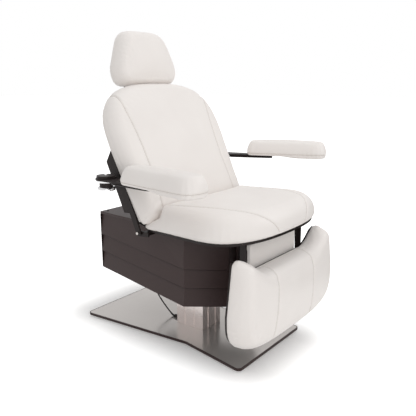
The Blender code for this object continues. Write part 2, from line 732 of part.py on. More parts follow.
def open_normals(path):
    """Outward normals along an open path that runs from the rear to the front of the left side."""
    found = []
    for k in range(len(path)):
        steps = []
        for a, b in ((k - 1, k), (k, k + 1)):
            if a >= 0 and b < len(path):
                run = (Vector(path[b]) - Vector(path[a])).normalized()
                steps.append(Vector((-run.y, run.x)))
        middle = sum(steps, Vector((0, 0))).normalized()
        found.append(middle / middle.dot(steps[0]))
    found[0] = Vector((1, 0))    # the rear end stays in line with the rear panel
    return found


def build_skirt():
    """Three tiers on each side, the rear panel and the lid behind the back."""
    for level, name in enumerate(SKIRT_NAMES):
        for side, sign in SIDES.items():
            turn = Matrix.Scale(sign, 4, (1, 0, 0))
            add(side + "_skirt_" + name, skirt_tier(level), BRONZE, "lift_axis", turn)
    half = SKIRT_REAR_HALF + SKIRT_LAP
    ceiling = LID_TOP - LID_THICK - GAP
    low = (-half, SKIRT_REAR_Y - SKIRT_WALL, SKIRT_REAR_BOTTOM)
    add("rear_panel", block(low, (half, SKIRT_REAR_Y, ceiling)), BLACK, "lift_axis")
    flare = (SKIRT_KINK_HALF - SKIRT_REAR_HALF) / (SKIRT_REAR_Y - SKIRT_KINK_Y)
    reach = half + flare * (SKIRT_REAR_Y - LID_FRONT_Y)
    outline = [(-reach, LID_FRONT_Y), (reach, LID_FRONT_Y), (half, SKIRT_REAR_Y), (-half, SKIRT_REAR_Y)]
    seat = Matrix.Translation((0, 0, LID_TOP - LID_THICK))
    bevel(add("rear_lid", slab([outline], LID_THICK), BRONZE, "lift_axis", seat), LID_BEVEL)


def quarter_oval(wide, tall, power):
    """Points of a quarter superellipse, from its top on the middle line to its widest place."""
    turns = [math.pi / 2 * k / OVAL_STEPS for k in range(OVAL_STEPS + 1)]
    return [(wide * math.sin(t) ** (2 / power), tall * math.cos(t) ** (2 / power)) for t in turns]


def rounded_corner(before, corner, after, radius):
    """Arc of one rounded corner of an outline."""
    return rounded([before, corner, after], [SHARP, radius, SHARP])[ARC_STEPS + 1:2 * ARC_STEPS + 2]


def seat_outline():
    """Plan of the seat: flared sides, rounded rear corners and a broad superellipse front."""
    oval = quarter_oval(SEAT_WIDE_HALF, SEAT_WIDE_Y - SEAT_FRONT_Y, SEAT_POWER)
    front = [(x, SEAT_WIDE_Y - y) for x, y in oval]
    corner = rounded_corner((SEAT_WIDE_HALF, SEAT_WIDE_Y), (SEAT_REAR_HALF, SEAT_REAR_Y), (0, SEAT_REAR_Y),
                            SEAT_CORNER)
    return mirrored(front + corner)


def build_seat():
    """Board, cushion and apron of the seat."""
    tilt = Matrix.Translation((0, SEAT_FRONT_Y, SEAT_FRONT_Z)) @ Matrix.Rotation(-SEAT_TILT, 4, "X")
    tilt = tilt @ Matrix.Translation((0, -SEAT_FRONT_Y, 0))
    outline = seat_outline()
    add("seat_board", slab([inset(outline, BOARD_INSET)], SEAT_BOARD), BLACK, "lift_axis",
        tilt @ Matrix.Translation((0, 0, -SEAT_BOARD)))
    middle = (0, (SEAT_FRONT_Y + SEAT_REAR_Y) / 2)
    pad = cushion(outline, SEAT_PAD, SEAT_CROWN, middle, SEAT_EDGE, SEAT_SIDES)
    place = tilt @ Matrix.Translation((0, 0, GAP))
    clear_of_back(pad, place)
    add("seat_cushion", pad, VINYL, "lift_axis", place)
    low = (-APRON_HALF, APRON_FRONT_Y, APRON_BOTTOM)
    high = (APRON_HALF, APRON_FRONT_Y + APRON_THICK, APRON_TOP)
    bevel(add("seat_apron", block(low, high), VINYL, "lift_axis"), APRON_BEVEL, 3)
    y = APRON_FRONT_Y + APRON_THICK + GAP
    deep = y + APRON_FLANGE
    top = under_board(deep)
    edge = [(y, APRON_BOTTOM + APRON_THICK), (y + BRACKET_THICK, APRON_BOTTOM + APRON_THICK),
            (y + BRACKET_THICK, top - BRACKET_THICK), (deep, top - BRACKET_THICK), (deep, top), (y, top)]
    place = Matrix.Translation((-BRACKET_WIDTH / 2, 0, 0)) @ ALONG_X
    add("apron_bracket", slab([edge], BRACKET_WIDTH), BLACK, "lift_axis", place)


def clear_of_back(mesh, place):
    """Draw the seat's rear end in under and ahead of the back cushion's lower edge."""
    front = BACK_BOARD - BACK_FACE + BACK_PAD + BACK_CROWN / 2 + SEAT_CLEAR
    start = SEAT_REAR_Y - SEAT_SQUEEZE
    for vert in mesh.vertices:
        rise = (place @ vert.co).z - HINGE_Z
        ahead = HINGE_Y + rise * math.tan(BACK_LEAN) - front / math.cos(BACK_LEAN)
        under = HINGE_Y + (BACK_FOOT - SEAT_CLEAR - rise * math.cos(BACK_LEAN)) / math.sin(BACK_LEAN)
        limit = min(SEAT_REAR_Y, max(ahead, under))
        if vert.co.y > start:
            vert.co.y = start + (vert.co.y - start) * (limit - start) / SEAT_SQUEEZE


def on_back(x, s, n):
    """A point in the back's own frame: across, up the back from the hinge, and behind it."""
    return BACK_AXES @ Vector((x, s, n))


UP_BACK = (0, math.sin(BACK_LEAN), math.cos(BACK_LEAN))
BEHIND_BACK = (0, math.cos(BACK_LEAN), -math.sin(BACK_LEAN))
AHEAD_OF_BACK = (0, -math.cos(BACK_LEAN), math.sin(BACK_LEAN))
BACK_OUT = frame_matrix((1, 0, 0), UP_BACK, AHEAD_OF_BACK, (0, HINGE_Y, HINGE_Z))


def back_outline():
    """Front view of the back: slightly flared sides and a broad superellipse top."""
    oval = quarter_oval(BACK_WIDE_HALF, BACK_TOP_S - BACK_WIDE_S, BACK_POWER)
    top = [(x, BACK_WIDE_S + y) for x, y in reversed(oval)]
    foot = rounded_corner((0, BACK_FOOT), (BACK_FOOT_HALF, BACK_FOOT), (BACK_WIDE_HALF, BACK_WIDE_S),
                          BACK_CORNER)
    return mirrored([(0, BACK_FOOT)] + foot + top)


def build_back():
    """Board, cushion, side rails, arm bolts and cross tube."""
    outline = back_outline()
    face = BACK_OUT @ Matrix.Translation((0, 0, -BACK_FACE))
    add("back_board", slab([inset(outline, BOARD_INSET)], BACK_BOARD), VINYL, "recline_axis", face)
    middle = (0, (BACK_FOOT + BACK_TOP_S) / 2)
    pad = cushion(outline, BACK_PAD, BACK_CROWN, middle, BACK_EDGE, BACK_SIDES)
    add("back_cushion", pad, VINYL, "recline_axis", face @ Matrix.Translation((0, 0, BACK_BOARD + GAP)))
    front = BACK_FACE + GAP
    rear = front + SIDE_RAIL_WIDTH
    half = TONGUE_WIDTH / 2
    edge = [(-half, front + TONGUE_STEP), (SIDE_RAIL_LOW, front), (SIDE_RAIL_TOP, front),
            (SIDE_RAIL_TOP - SIDE_RAIL_TAPER, rear), (SIDE_RAIL_LOW + SIDE_RAIL_HEEL, rear),
            (SIDE_RAIL_LOW, front + TONGUE_WIDTH + TONGUE_HEEL), (half, half), (-half, half)]
    holes = [circle(PIN_RADIUS + RUN, (0, 0), THIN_ROUND),
             circle(ARM_BOLT_RADIUS + RUN, (ARM_BOLT_S, ARM_BOLT_N), THIN_ROUND)]
    turn = frame_matrix(UP_BACK, BEHIND_BACK, (-1, 0, 0), (0, HINGE_Y, HINGE_Z))
    for side, sign in SIDES.items():
        middle = sign * (RAIL_OUT + SIDE_RAIL_THICK / 2)
        place = Matrix.Translation((middle + SIDE_RAIL_THICK / 2, 0, 0)) @ turn
        add(side + "_back_rail", slab([edge] + holes, SIDE_RAIL_THICK), BLACK, "recline_axis", place)
        ends = (RAIL_OUT + GAP, RAIL_OUT + SIDE_RAIL_THICK + ARM_BOLT_REACH)
        add(side + "_arm_bolt", cross_rod(ARM_BOLT_RADIUS, sign, ends, ARM_Y, ARM_Z), BRASS, "recline_axis")
    span = RAIL_OUT - GAP
    height = front + CROSS_TUBE_RADIUS
    tube = rod(CROSS_TUBE_RADIUS, on_back(-span, CROSS_TUBE_S, height), on_back(span, CROSS_TUBE_S, height))
    add("back_cross_tube", tube, BLACK, "recline_axis")


def cross_rod(radius, sign, ends, y, z, sides=THIN_ROUND):
    """A bar across the chair on one side, between two distances from the middle."""
    low, high = sorted(sign * x for x in ends)
    return rod(radius, (low, y, z), (high, y, z), sides)


def build_hinges():
    """Bracket under the seat board and pin of the back's hinge on each side."""
    plate_in = RAIL_OUT - GAP - SIDE_RAIL_THICK
    front, rear, foot = HINGE_WEB
    top = under_board(HINGE_Y + rear)
    edge = [(HINGE_Y + y, HINGE_Z + z) for y, z in HINGE_PLATE]
    edge.append((edge[0][0], top - HINGE_BITE / 2))
    hole = circle(PIN_RADIUS + GAP, (HINGE_Y, HINGE_Z), THIN_ROUND)
    for side, sign in SIDES.items():
        middle = sign * (plate_in + SIDE_RAIL_THICK / 2)
        place = Matrix.Translation((middle - SIDE_RAIL_THICK / 2, 0, 0)) @ ALONG_X
        bracket = add(side + "_hinge_bracket", slab([edge, hole], SIDE_RAIL_THICK), BLACK, "lift_axis", place)
        ends = sorted((sign * (SEAT_REAR_HALF - BOARD_INSET - FLANGE_REACH), sign * (plate_in + HINGE_BITE)))
        web = block((ends[0], HINGE_Y + front, HINGE_Z + foot), (ends[1], HINGE_Y + rear, top))
        boolean(bracket, web, "UNION")
        ends = (plate_in - PIN_TAIL, RAIL_OUT + SIDE_RAIL_THICK + PIN_HEAD)
        add(side + "_hinge_pin", cross_rod(PIN_RADIUS, sign, ends, HINGE_Y, HINGE_Z), CHROME, "lift_axis")


def bar_place(sign, s):
    """Placing of a headrest bar's section on one side at a height up the back."""
    return frame_matrix((1, 0, 0), BEHIND_BACK, UP_BACK, on_back(sign * BAR_X, s, BAR_N + BAR_THICK / 2))


def build_headrest():
    """Sockets on the back, the sliding frame with its pivot tube, and the headrest's board and cushion."""
    out, rear = BAR_WIDTH / 2 + SOCKET_WALL, BAR_THICK / 2 + SOCKET_WALL
    front = BACK_FACE + GAP - BAR_N - BAR_THICK / 2
    shell = [(-out, rear), (-out, front), (out, front), (out, rear)]
    bore = rectangle(BAR_WIDTH / 2 + RUN, BAR_THICK / 2 + RUN)
    for side, sign in SIDES.items():
        socket = slab([shell, bore], SOCKET_LENGTH)
        add(side + "_headrest_socket", socket, BLACK, "recline_axis", bar_place(sign, SOCKET_LOW_S))
    ends = Vector((BAR_X + BAR_WIDTH / 2 + KNUCKLE_REACH, 0, 0))
    tube = add("headrest_frame", rod(KNUCKLE_RADIUS, HEAD_AXIS - ends, HEAD_AXIS + ends), BLACK,
               "headrest_slide_axis")
    for sign in SIDES.values():
        bar = slab([rectangle(BAR_WIDTH / 2, BAR_THICK / 2)], HEAD_HINGE_S - BAR_LOW_S)
        bar.transform(bar_place(sign, BAR_LOW_S))
        boolean(tube, bar, "UNION")
    half = [(HEAD_LOW_HALF, 0), (HEAD_WIDE_HALF, HEAD_WIDE_RISE), (HEAD_TOP_HALF, HEAD_HEIGHT)]
    outline = rounded(half + [(-x, y) for x, y in reversed(half)], HEAD_CORNERS + HEAD_CORNERS[::-1])
    face = frame_matrix((1, 0, 0), (0, math.sin(HEAD_LEAN), math.cos(HEAD_LEAN)),
                        (0, -math.cos(HEAD_LEAN), math.sin(HEAD_LEAN)), (0, HEAD_FACE_Y, HEAD_LOW_Z))
    board = slab([inset(outline, BOARD_INSET)], HEAD_BOARD)
    board = add("headrest_board", board, VINYL, "headrest_tilt_axis", face)
    axis = face.inverted() @ HEAD_AXIS
    ear = [(axis.y - EAR_LOW, HEAD_BOARD / 2), (axis.y + EAR_HIGH, HEAD_BOARD / 2)]
    turns = [math.pi * k / ARC_STEPS for k in range(ARC_STEPS + 1)]
    ear += [(axis.y + EAR_ROUND * math.cos(t), axis.z - EAR_ROUND * math.sin(t)) for t in turns]
    hole = circle(KNUCKLE_RADIUS + RUN, (axis.y, axis.z))
    for sign in SIDES.values():
        middle = sign * (BAR_X + BAR_WIDTH / 2 + EAR_OUT)
        plate = slab([ear, hole], EAR_WIDTH)
        plate.transform(face @ Matrix.Translation((middle - EAR_WIDTH / 2, 0, 0)) @ ALONG_X)
        boolean(board, plate, "UNION")
    pad = cushion(outline, HEAD_PAD, HEAD_CROWN, (0, HEAD_HEART), HEAD_EDGE, HEAD_SIDES)
    place = face @ Matrix.Translation((0, 0, HEAD_BOARD + GAP))
    add("headrest_cushion", pad, VINYL, "headrest_tilt_axis", place)


def leg_outline():
    """Front view of the leg rest: round lower corners, and a dished top edge between two horns."""
    oval = quarter_oval(LEG_WIDE_HALF, LEG_WIDE_Z - LEG_LOW_Z, LEG_POWER)
    low = [(x, LEG_WIDE_Z - y) for x, y in oval]
    inner = (LEG_HORN_HALF - LEG_HORN_IN, LEG_HORN_Z - LEG_HORN_DROP)
    horn = rounded_corner((LEG_WIDE_HALF, LEG_WIDE_Z), (LEG_HORN_HALF + LEG_HORN_OUT, LEG_HORN_Z), inner,
                          LEG_HORN_ROUND)
    dish = []
    for k in range(LEG_DISH_STEPS + 1):
        share = 1 - k / LEG_DISH_STEPS
        dish.append((LEG_TOP_HALF + (inner[0] - LEG_TOP_HALF) * share,
                     LEG_TOP_Z + (inner[1] - LEG_TOP_Z) * share ** LEG_DISH_POWER))
    return mirrored(low + horn + dish + [(0, LEG_TOP_Z)])


def build_leg_rest():
    """Board and cushion of the leg rest, its hinge frame and the mounts under the seat board."""
    outline = leg_outline()
    face = frame_matrix((1, 0, 0), (0, 0, 1), (0, -1, 0), (0, LEG_FACE_Y, 0))
    add("leg_board", slab([inset(outline, BOARD_INSET / 2)], LEG_BOARD), BLACK, "leg_axis", face)
    pad = cushion(outline, LEG_PAD, LEG_CROWN, (0, LEG_WIDE_Z), LEG_EDGE, LEG_SIDES)
    add("leg_cushion", pad, VINYL, "leg_axis", face @ Matrix.Translation((0, 0, LEG_BOARD + GAP)))
    ends = LEG_ARM_X + LEG_ARM_THICK / 2
    tube = rod(LEG_TUBE_RADIUS, (-ends, LEG_HINGE_Y, LEG_HINGE_Z), (ends, LEG_HINGE_Y, LEG_HINGE_Z))
    tube = add("leg_hinge_frame", tube, BLACK, "leg_axis")
    rear = LEG_FACE_Y + GAP
    edge = [(rear + y, LEG_WIDE_Z + z) for y, z in LEG_ARM_FOOT]
    edge += [(LEG_HINGE_Y + y, LEG_HINGE_Z + z) for y, z in LEG_ARM_HEAD]
    edge.append((rear, LEG_HINGE_Z - LEG_ARM_NECK))
    for sign in SIDES.values():
        arm = slab([edge], LEG_ARM_THICK)
        arm.transform(Matrix.Translation((sign * LEG_ARM_X - LEG_ARM_THICK / 2, 0, 0)) @ ALONG_X)
        boolean(tube, arm, "UNION")
    edge = [(LEG_HINGE_Y + y, LEG_HINGE_Z + z) for y, z in LEG_MOUNT]
    edge.append((LEG_HINGE_Y + LEG_LIP[0], under_board(LEG_HINGE_Y) - LEG_LIP_DROP))
    edge += [(LEG_HINGE_Y + y, under_board(LEG_HINGE_Y + y)) for y in LEG_LIP]
    hole = circle(LEG_TUBE_RADIUS + RUN, (LEG_HINGE_Y, LEG_HINGE_Z))
    for side, sign in SIDES.items():
        place = Matrix.Translation((sign * LEG_MOUNT_X - LEG_ARM_THICK / 2, 0, 0)) @ ALONG_X
        add(side + "_leg_hinge_mount", slab([edge, hole], LEG_ARM_THICK), BLACK, "lift_axis", place)


def upright(radius, sign, low, high):
    """A round piece on an armrest's swing axis between two heights."""
    x = sign * ARM_DISC_X
    return rod(radius, (x, ARM_Y, low), (x, ARM_Y, high), WIDE_ROUND)


def build_armrests():
    """Bracket, swivel ring, arm plate and cushion on each side."""
    sweep = math.pi + 2 * ARM_DISC_OPEN
    turns = [ARM_DISC_OPEN - sweep * k / ARM_DISC_STEPS for k in range(ARM_DISC_STEPS + 1)]
    edge = [(ARM_DISC_RADIUS * math.cos(t), ARM_DISC_RADIUS * math.sin(t)) for t in turns]
    edge += [(-ARM_PLATE_TIP, ARM_PLATE_REACH), (0, ARM_PLATE_REACH + ARM_PLATE_TIP),
             (ARM_PLATE_TIP, ARM_PLATE_REACH)]
    start, end = ARM_PAD_START, ARM_PAD_START + ARM_PAD_LENGTH
    slim, wide = ARM_PAD_REAR / 2, ARM_PAD_WIDTH / 2
    outline = rounded([(-slim, start), (slim, start), (wide, end), (-wide, end)],
                      [ARM_REAR_ROUND, ARM_REAR_ROUND, ARM_FRONT_ROUND, ARM_FRONT_ROUND])
    stub = RAIL_OUT + SIDE_RAIL_THICK + RUN
    for side, sign in SIDES.items():
        level, swing = side + "_arm_level_axis", side + "_arm_swing_axis"
        low = ARM_Z - ARM_BOSS_HEIGHT / 2
        high = low + ARM_BOSS_HEIGHT + ARM_POST_RISE[side]
        boss = add(side + "_arm_bracket", upright(ARM_BOSS_RADIUS, sign, low, high), BLACK, level)
        arm = cross_rod(ARM_STUB_RADIUS, sign, (stub, ARM_DISC_X - ARM_STUB_BITE), ARM_Y, ARM_Z, ROUND)
        boolean(boss, arm, "UNION")
        ends = (stub - ARM_STUB_BITE, stub + ARM_BOLT_REACH + ARM_BOLT_ROOM)
        boolean(boss, cross_rod(ARM_BOLT_RADIUS + RUN, sign, ends, ARM_Y, ARM_Z), "DIFFERENCE")
        low = high + GAP
        high = low + ARM_RING_THICK
        ring = upright(ARM_DISC_RADIUS - ARM_RING_STEP, sign, low, high)
        add(side + "_arm_swivel_ring", ring, CHROME, level)
        low = high + RUN
        high = low + ARM_PLATE_THICK
        aim = Vector((sign * math.sin(ARM_SPLAY[side]), -math.cos(ARM_SPLAY[side]), 0))
        place = frame_matrix((-aim.y, aim.x, 0), tuple(aim), (0, 0, 1), (sign * ARM_DISC_X, ARM_Y, low))
        arm = add(side + "_arm_plate", slab([edge], ARM_PLATE_THICK), BLACK, swing, place)
        hub = upright(ARM_HUB_RADIUS, sign, low + ARM_PLATE_THICK / 2, high + ARM_HUB_HEIGHT)
        boolean(arm, hub, "UNION")
        bevel(arm, ARM_PLATE_BEVEL, 1)
        pad = cushion(outline, ARM_PAD_HEIGHT, ARM_PAD_CROWN, (0, (start + end) / 2), ARM_PAD_EDGE, ARM_SIDES)
        place = place @ Matrix.Translation((0, 0, ARM_PLATE_THICK + GAP))
        add(side + "_arm_cushion", pad, VINYL, swing, place)


def smooth_path(points, spacing):
    """Points read evenly from a Catmull-Rom curve through a route."""
    spots = [Vector(p) for p in points]
    spots = [2 * spots[0] - spots[1]] + spots + [2 * spots[-1] - spots[-2]]
    fine = []
    for a, b, c, d in zip(spots, spots[1:], spots[2:], spots[3:]):
        for k in range(CURVE_STEPS):
            t = k / CURVE_STEPS
            fine.append(0.5 * (2 * b + (c - a) * t + (2 * a - 5 * b + 4 * c - d) * t ** 2
                               + (3 * b - 3 * c + d - a) * t ** 3))
    fine.append(spots[-2])
    reach = [0.0]
    for a, b in zip(fine, fine[1:]):
        reach.append(reach[-1] + (b - a).length)
    count = max(2, round(reach[-1] / spacing))
    path = []
    seg = 0
    for k in range(count + 1):
        goal = reach[-1] * k / count
        while seg < len(reach) - 2 and reach[seg + 1] < goal:
            seg += 1
        path.append(fine[seg].lerp(fine[seg + 1], (goal - reach[seg]) / (reach[seg + 1] - reach[seg])))
    return path


def build_cord():
    """Strain relief under the chassis, gland on the plate and the cord between them."""
    x, y = GLAND_SPOT
    axis_z = PLATE_TOP + GAP + GLAND_RADIUS
    gland = rod(GLAND_RADIUS, (x, y - GLAND_LENGTH, axis_z), (x, y, axis_z), 16)
    add("cord_gland", gland, BLACK, "chair_root")
    x, y = RELIEF_SPOT
    top = RAIL_LOW + (RAIL_HEIGHT - RELIEF_WIDTH) / 2
    far = (x + RELIEF_WIDTH / 2, RAIL_REAR - CROSS_DEPTH - GAP, top + RELIEF_WIDTH)
    add("relief_bracket", block((x - RELIEF_WIDTH / 2, y, top), far), BLACK, "lift_axis")
    route = [(GLAND_SPOT[0], GLAND_SPOT[1] + GAP + k * CORD_LEAD, axis_z) for k in (0, 1)]
    route += CORD_BELLY + CORD_SLACK
    route += [(x, y + RELIEF_WIDTH / 2, top - GAP - k * CORD_LEAD) for k in (1, 0)]
    path = smooth_path(route, CORD_SPACING)
    path[1] = Vector((path[0].x, path[1].y, path[0].z))
    path[-2] = Vector((path[-1].x, path[-1].y, path[-2].z))
    curve = bpy.data.curves.new("power_cord", "CURVE")
    curve.dimensions = "3D"
    curve.bevel_depth = CORD_RADIUS
    curve.bevel_resolution = 2
    curve.use_fill_caps = True
    spline = curve.splines.new("POLY")
    spline.points.add(len(path) - 1)
    for spot, point in zip(spline.points, path):
        spot.co = (*point, 1)
    curve.materials.append(RUBBER)
    made = bpy.data.objects.new("power_cord", curve)
    PARTS.objects.link(made)
    empty, spot = EMPTIES["lift_axis"]
    made.parent = empty
    made.matrix_parent_inverse = Matrix.Translation(-spot)


def centre_on_origin():
    """Move the root so that the box of all but the cord stands in the middle over the origin."""
    bpy.context.view_layer.update()
    seen = bpy.context.evaluated_depsgraph_get()
    spots = []
    for made in PARTS.objects:
        if made.type == "MESH":
            shown = made.evaluated_get(seen)
            spots += [shown.matrix_world @ Vector(corner) for corner in shown.bound_box]
    for axis in (0, 1):
        places = [spot[axis] for spot in spots]
        EMPTIES["chair_root"][0].location[axis] -= (min(places) + max(places)) / 2


build_base()
build_chassis()
build_skirt()
build_seat()
build_back()
build_hinges()
build_headrest()
build_leg_rest()
build_armrests()
build_cord()
centre_on_origin()
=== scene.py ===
"""Looks of a spa treatment chair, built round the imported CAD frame.

The chair stands on a waisted steel plate with a lifting column. A stepped, powder coated housing carries
the seat, and the back, headrest, armrests and leg rest are padded boards covered in warm white vinyl.
Everything is in metres in the CAD frame: +Z up, the sitter faces -Y, the sitter's left is +X.
"""

from __future__ import annotations

import json
import logging
import math
from dataclasses import dataclass
from enum import Enum
from typing import Any, Callable, Optional, Sequence, Union

import bpy
import numpy as np
from mathutils import Euler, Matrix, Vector
from mathutils.bvhtree import BVHTree

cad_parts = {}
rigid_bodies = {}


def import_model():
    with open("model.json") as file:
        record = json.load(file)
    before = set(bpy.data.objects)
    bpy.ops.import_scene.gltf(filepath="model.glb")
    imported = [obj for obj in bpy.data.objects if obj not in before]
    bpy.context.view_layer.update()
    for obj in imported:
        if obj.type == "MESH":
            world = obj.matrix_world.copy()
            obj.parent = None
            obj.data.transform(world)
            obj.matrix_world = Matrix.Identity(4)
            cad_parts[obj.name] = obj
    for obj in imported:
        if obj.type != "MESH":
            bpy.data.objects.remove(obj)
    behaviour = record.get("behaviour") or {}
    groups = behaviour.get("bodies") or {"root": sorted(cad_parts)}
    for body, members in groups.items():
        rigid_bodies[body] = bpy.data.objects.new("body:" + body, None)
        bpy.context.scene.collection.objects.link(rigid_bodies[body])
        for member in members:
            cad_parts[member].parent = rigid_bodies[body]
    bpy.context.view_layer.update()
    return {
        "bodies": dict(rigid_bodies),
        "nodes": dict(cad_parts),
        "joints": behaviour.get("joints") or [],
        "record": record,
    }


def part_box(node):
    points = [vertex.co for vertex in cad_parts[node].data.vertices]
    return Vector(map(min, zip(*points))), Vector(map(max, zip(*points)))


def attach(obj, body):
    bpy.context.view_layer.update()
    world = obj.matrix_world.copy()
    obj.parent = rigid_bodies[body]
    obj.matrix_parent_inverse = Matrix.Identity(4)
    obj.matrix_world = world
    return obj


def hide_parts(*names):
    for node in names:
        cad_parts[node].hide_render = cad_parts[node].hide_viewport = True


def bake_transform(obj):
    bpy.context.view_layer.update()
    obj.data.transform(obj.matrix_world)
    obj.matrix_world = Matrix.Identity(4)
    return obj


Spots = Sequence[Sequence[float]]

LOG = logging.getLogger("treatment_chair")
ROOT = np.array([-0.07437, 0.05565, 0.0])     # the CAD source's own origin, in the frame
WHITE = (1.0, 1.0, 1.0, 1.0)
NOISE_LOW = 0.3                               # most of a noise's values lie between these two
NOISE_HIGH = 0.7
PEBBLE_EDGE = 0.8                             # distance value at the rim of a pebble
SLANT = np.array([1.0, 0.9, 1.1])             # a swept ring starts square to this and to its path
UPRIGHT = 0.9                                 # an axis with more height than this counts as upright
UPRIGHT_START = (1.0, 0.0, 0.0)               # a turned ring starts square to this on an upright axis
LEVEL_START = (0.3, 0.5, 0.9)                 # and to this on a level one
UP = (0.0, 0.0, 1.0)
DOWN = (0.0, 0.0, -1.0)
REARWARD = (0.0, 1.0, 0.0)
CURVE_STEPS = 24                              # points of a curve between two of its spots
DOME_RINGS = 9
DOME_POLE = 0.03                              # radians short of its pole that a dome ends flat
BAR_SIDES = 24
BAR_ROUNDING = 0.4                            # power that squares a flat bar's section off
SHEET_EDGE = 0.0008                           # rounding of folded sheet

# How a cushion is blown up, smoothed and sewn
WELD_REACH = 0.00005
DRAWN_IN = 0.45                               # share of the cap that a form is drawn in before it swells
PIN_BAND = 0.6                                # share of a voxel that counts as lying on the board
COVER_CLOTH = {
    "quality": 4,
    "mass": 0.3,
    "tension_stiffness": 25.0,
    "compression_stiffness": 25.0,
    "bending_stiffness": 2.0,
    "use_pressure": True,
    "uniform_pressure_force": 4.0,
}
SWELL_FRAMES = 20
SOFTEN_PAIR = (0.5, -0.53)                    # towards the neighbours, then back
SOFTEN_ROUNDS = 6
REGAIN_ROUNDS = 2
REGAIN_BLUR = 8
SLOPE_STEP = 0.002                            # half of the distance that a seam's slope is read over
NO_SEAM = 1.0                                 # metres across that keep a point clear of every stitch
UNSEWN = 0.4                                  # a normal this far towards the board has no stitches
PUCKER = 0.024                                # length of one pucker along a seam
PUCKER_DEPTH = 0.00035
PUCKER_SWAY = 1.7                             # how much the puckers' spacing varies, and how fast
PUCKER_DRIFT = 31.0

# How the pads lie, and where their foam is fuller than the CAD form
BACK_LEAN = math.radians(25.3)
BACK_HINGE = ROOT + np.array([0.0, 0.0, 0.572])
BACK_UP = np.array([0.0, math.sin(BACK_LEAN), math.cos(BACK_LEAN)])
BACK_REAR = (0.0, math.cos(BACK_LEAN), -math.sin(BACK_LEAN))
SEAT_TILT = math.radians(1.9)
SEAT_UNDER = (0.0, math.sin(SEAT_TILT), -math.cos(SEAT_TILT))
HEAD_LEAN = math.radians(9.0)
HEAD_REAR = (0.0, math.cos(HEAD_LEAN), -math.sin(HEAD_LEAN))
TUCK_START = 0.030                            # up the back from its hinge, where the tuck is full
TUCK_LENGTH = 0.090                           # over which it fades
TUCK_DROP = 0.009
LEG_FOOT = 0.130                              # level where the leg pad's fullness begins
LEG_HEIGHT = 0.420                            # over which it grows and fades again
LEG_BOARD_SIDE = 0.060                        # depth from the board over which it grows
LEG_FULLER = 0.009


class Body(Enum):
    """The CAD bodies that pieces ride on."""

    BASE = "base"
    LIFT = "lift"
    BACK = "back"
    HEADREST = "headrest"
    LEG_REST = "leg_rest"
    LEFT_ARM = "left_arm"
    RIGHT_ARM = "right_arm"
    LEFT_BRACKET = "left_arm_bracket"
    RIGHT_BRACKET = "right_arm_bracket"


class Slot(Enum):
    """The record's material slots."""

    VINYL = "warm_white_vinyl"
    BRONZE = "dark_bronze_powder_coat"
    BLACK = "black_coated_steel"
    STEEL = "brushed_stainless_steel"
    ALLOY = "satin_anodised_aluminium"
    RUBBER = "black_rubber"
    PLASTIC = "dark_plastic"
    CHROME = "polished_chrome"
    BRASS = "brass"


def linear(colour: str) -> tuple[float, float, float, float]:
    """Turn an sRGB hex colour into linear light.

    Args:
        colour: Six hex digits with or without a leading hash.

    Returns:
        Linear red, green, blue and an alpha of one.
    """
    digits = colour.lstrip("#")
    parts = np.array([int(digits[k:k + 2], 16) for k in (0, 2, 4)]) / 255.0
    light = np.where(parts <= 0.04045, parts / 12.92, ((parts + 0.055) / 1.055) ** 2.4)
    return (float(light[0]), float(light[1]), float(light[2]), 1.0)


def add_node(tree: bpy.types.NodeTree, kind: str, inputs: Optional[dict[Any, Any]] = None,
             **settings: Any) -> Any:
    """Add a shader node, set its properties, and set or link its inputs.

    Args:
        tree: The material's or world's node tree.
        kind: Blender's type name of the node.
        inputs: Input name or index to a value, or to a socket to link from.
        **settings: Node properties.

    Returns:
        The new node.
    """
    node = tree.nodes.new(kind)
    for name, value in settings.items():
        setattr(node, name, value)
    for key, value in (inputs or {}).items():
        if isinstance(value, bpy.types.NodeSocket):
            tree.links.new(value, node.inputs[key])
        else:
            node.inputs[key].default_value = value
    return node


def per_mm(size: float) -> float:
    """Texture scale whose features are that many millimetres across."""
    return 1000.0 / size


def bare(name: str) -> tuple[bpy.types.Material, bpy.types.NodeTree]:
    """Make a material without nodes.

    Args:
        name: The material's name.

    Returns:
        The material and its empty node tree.
    """
    made = bpy.data.materials.new(name)
    made.use_nodes = True
    made.node_tree.nodes.clear()
    return made, made.node_tree


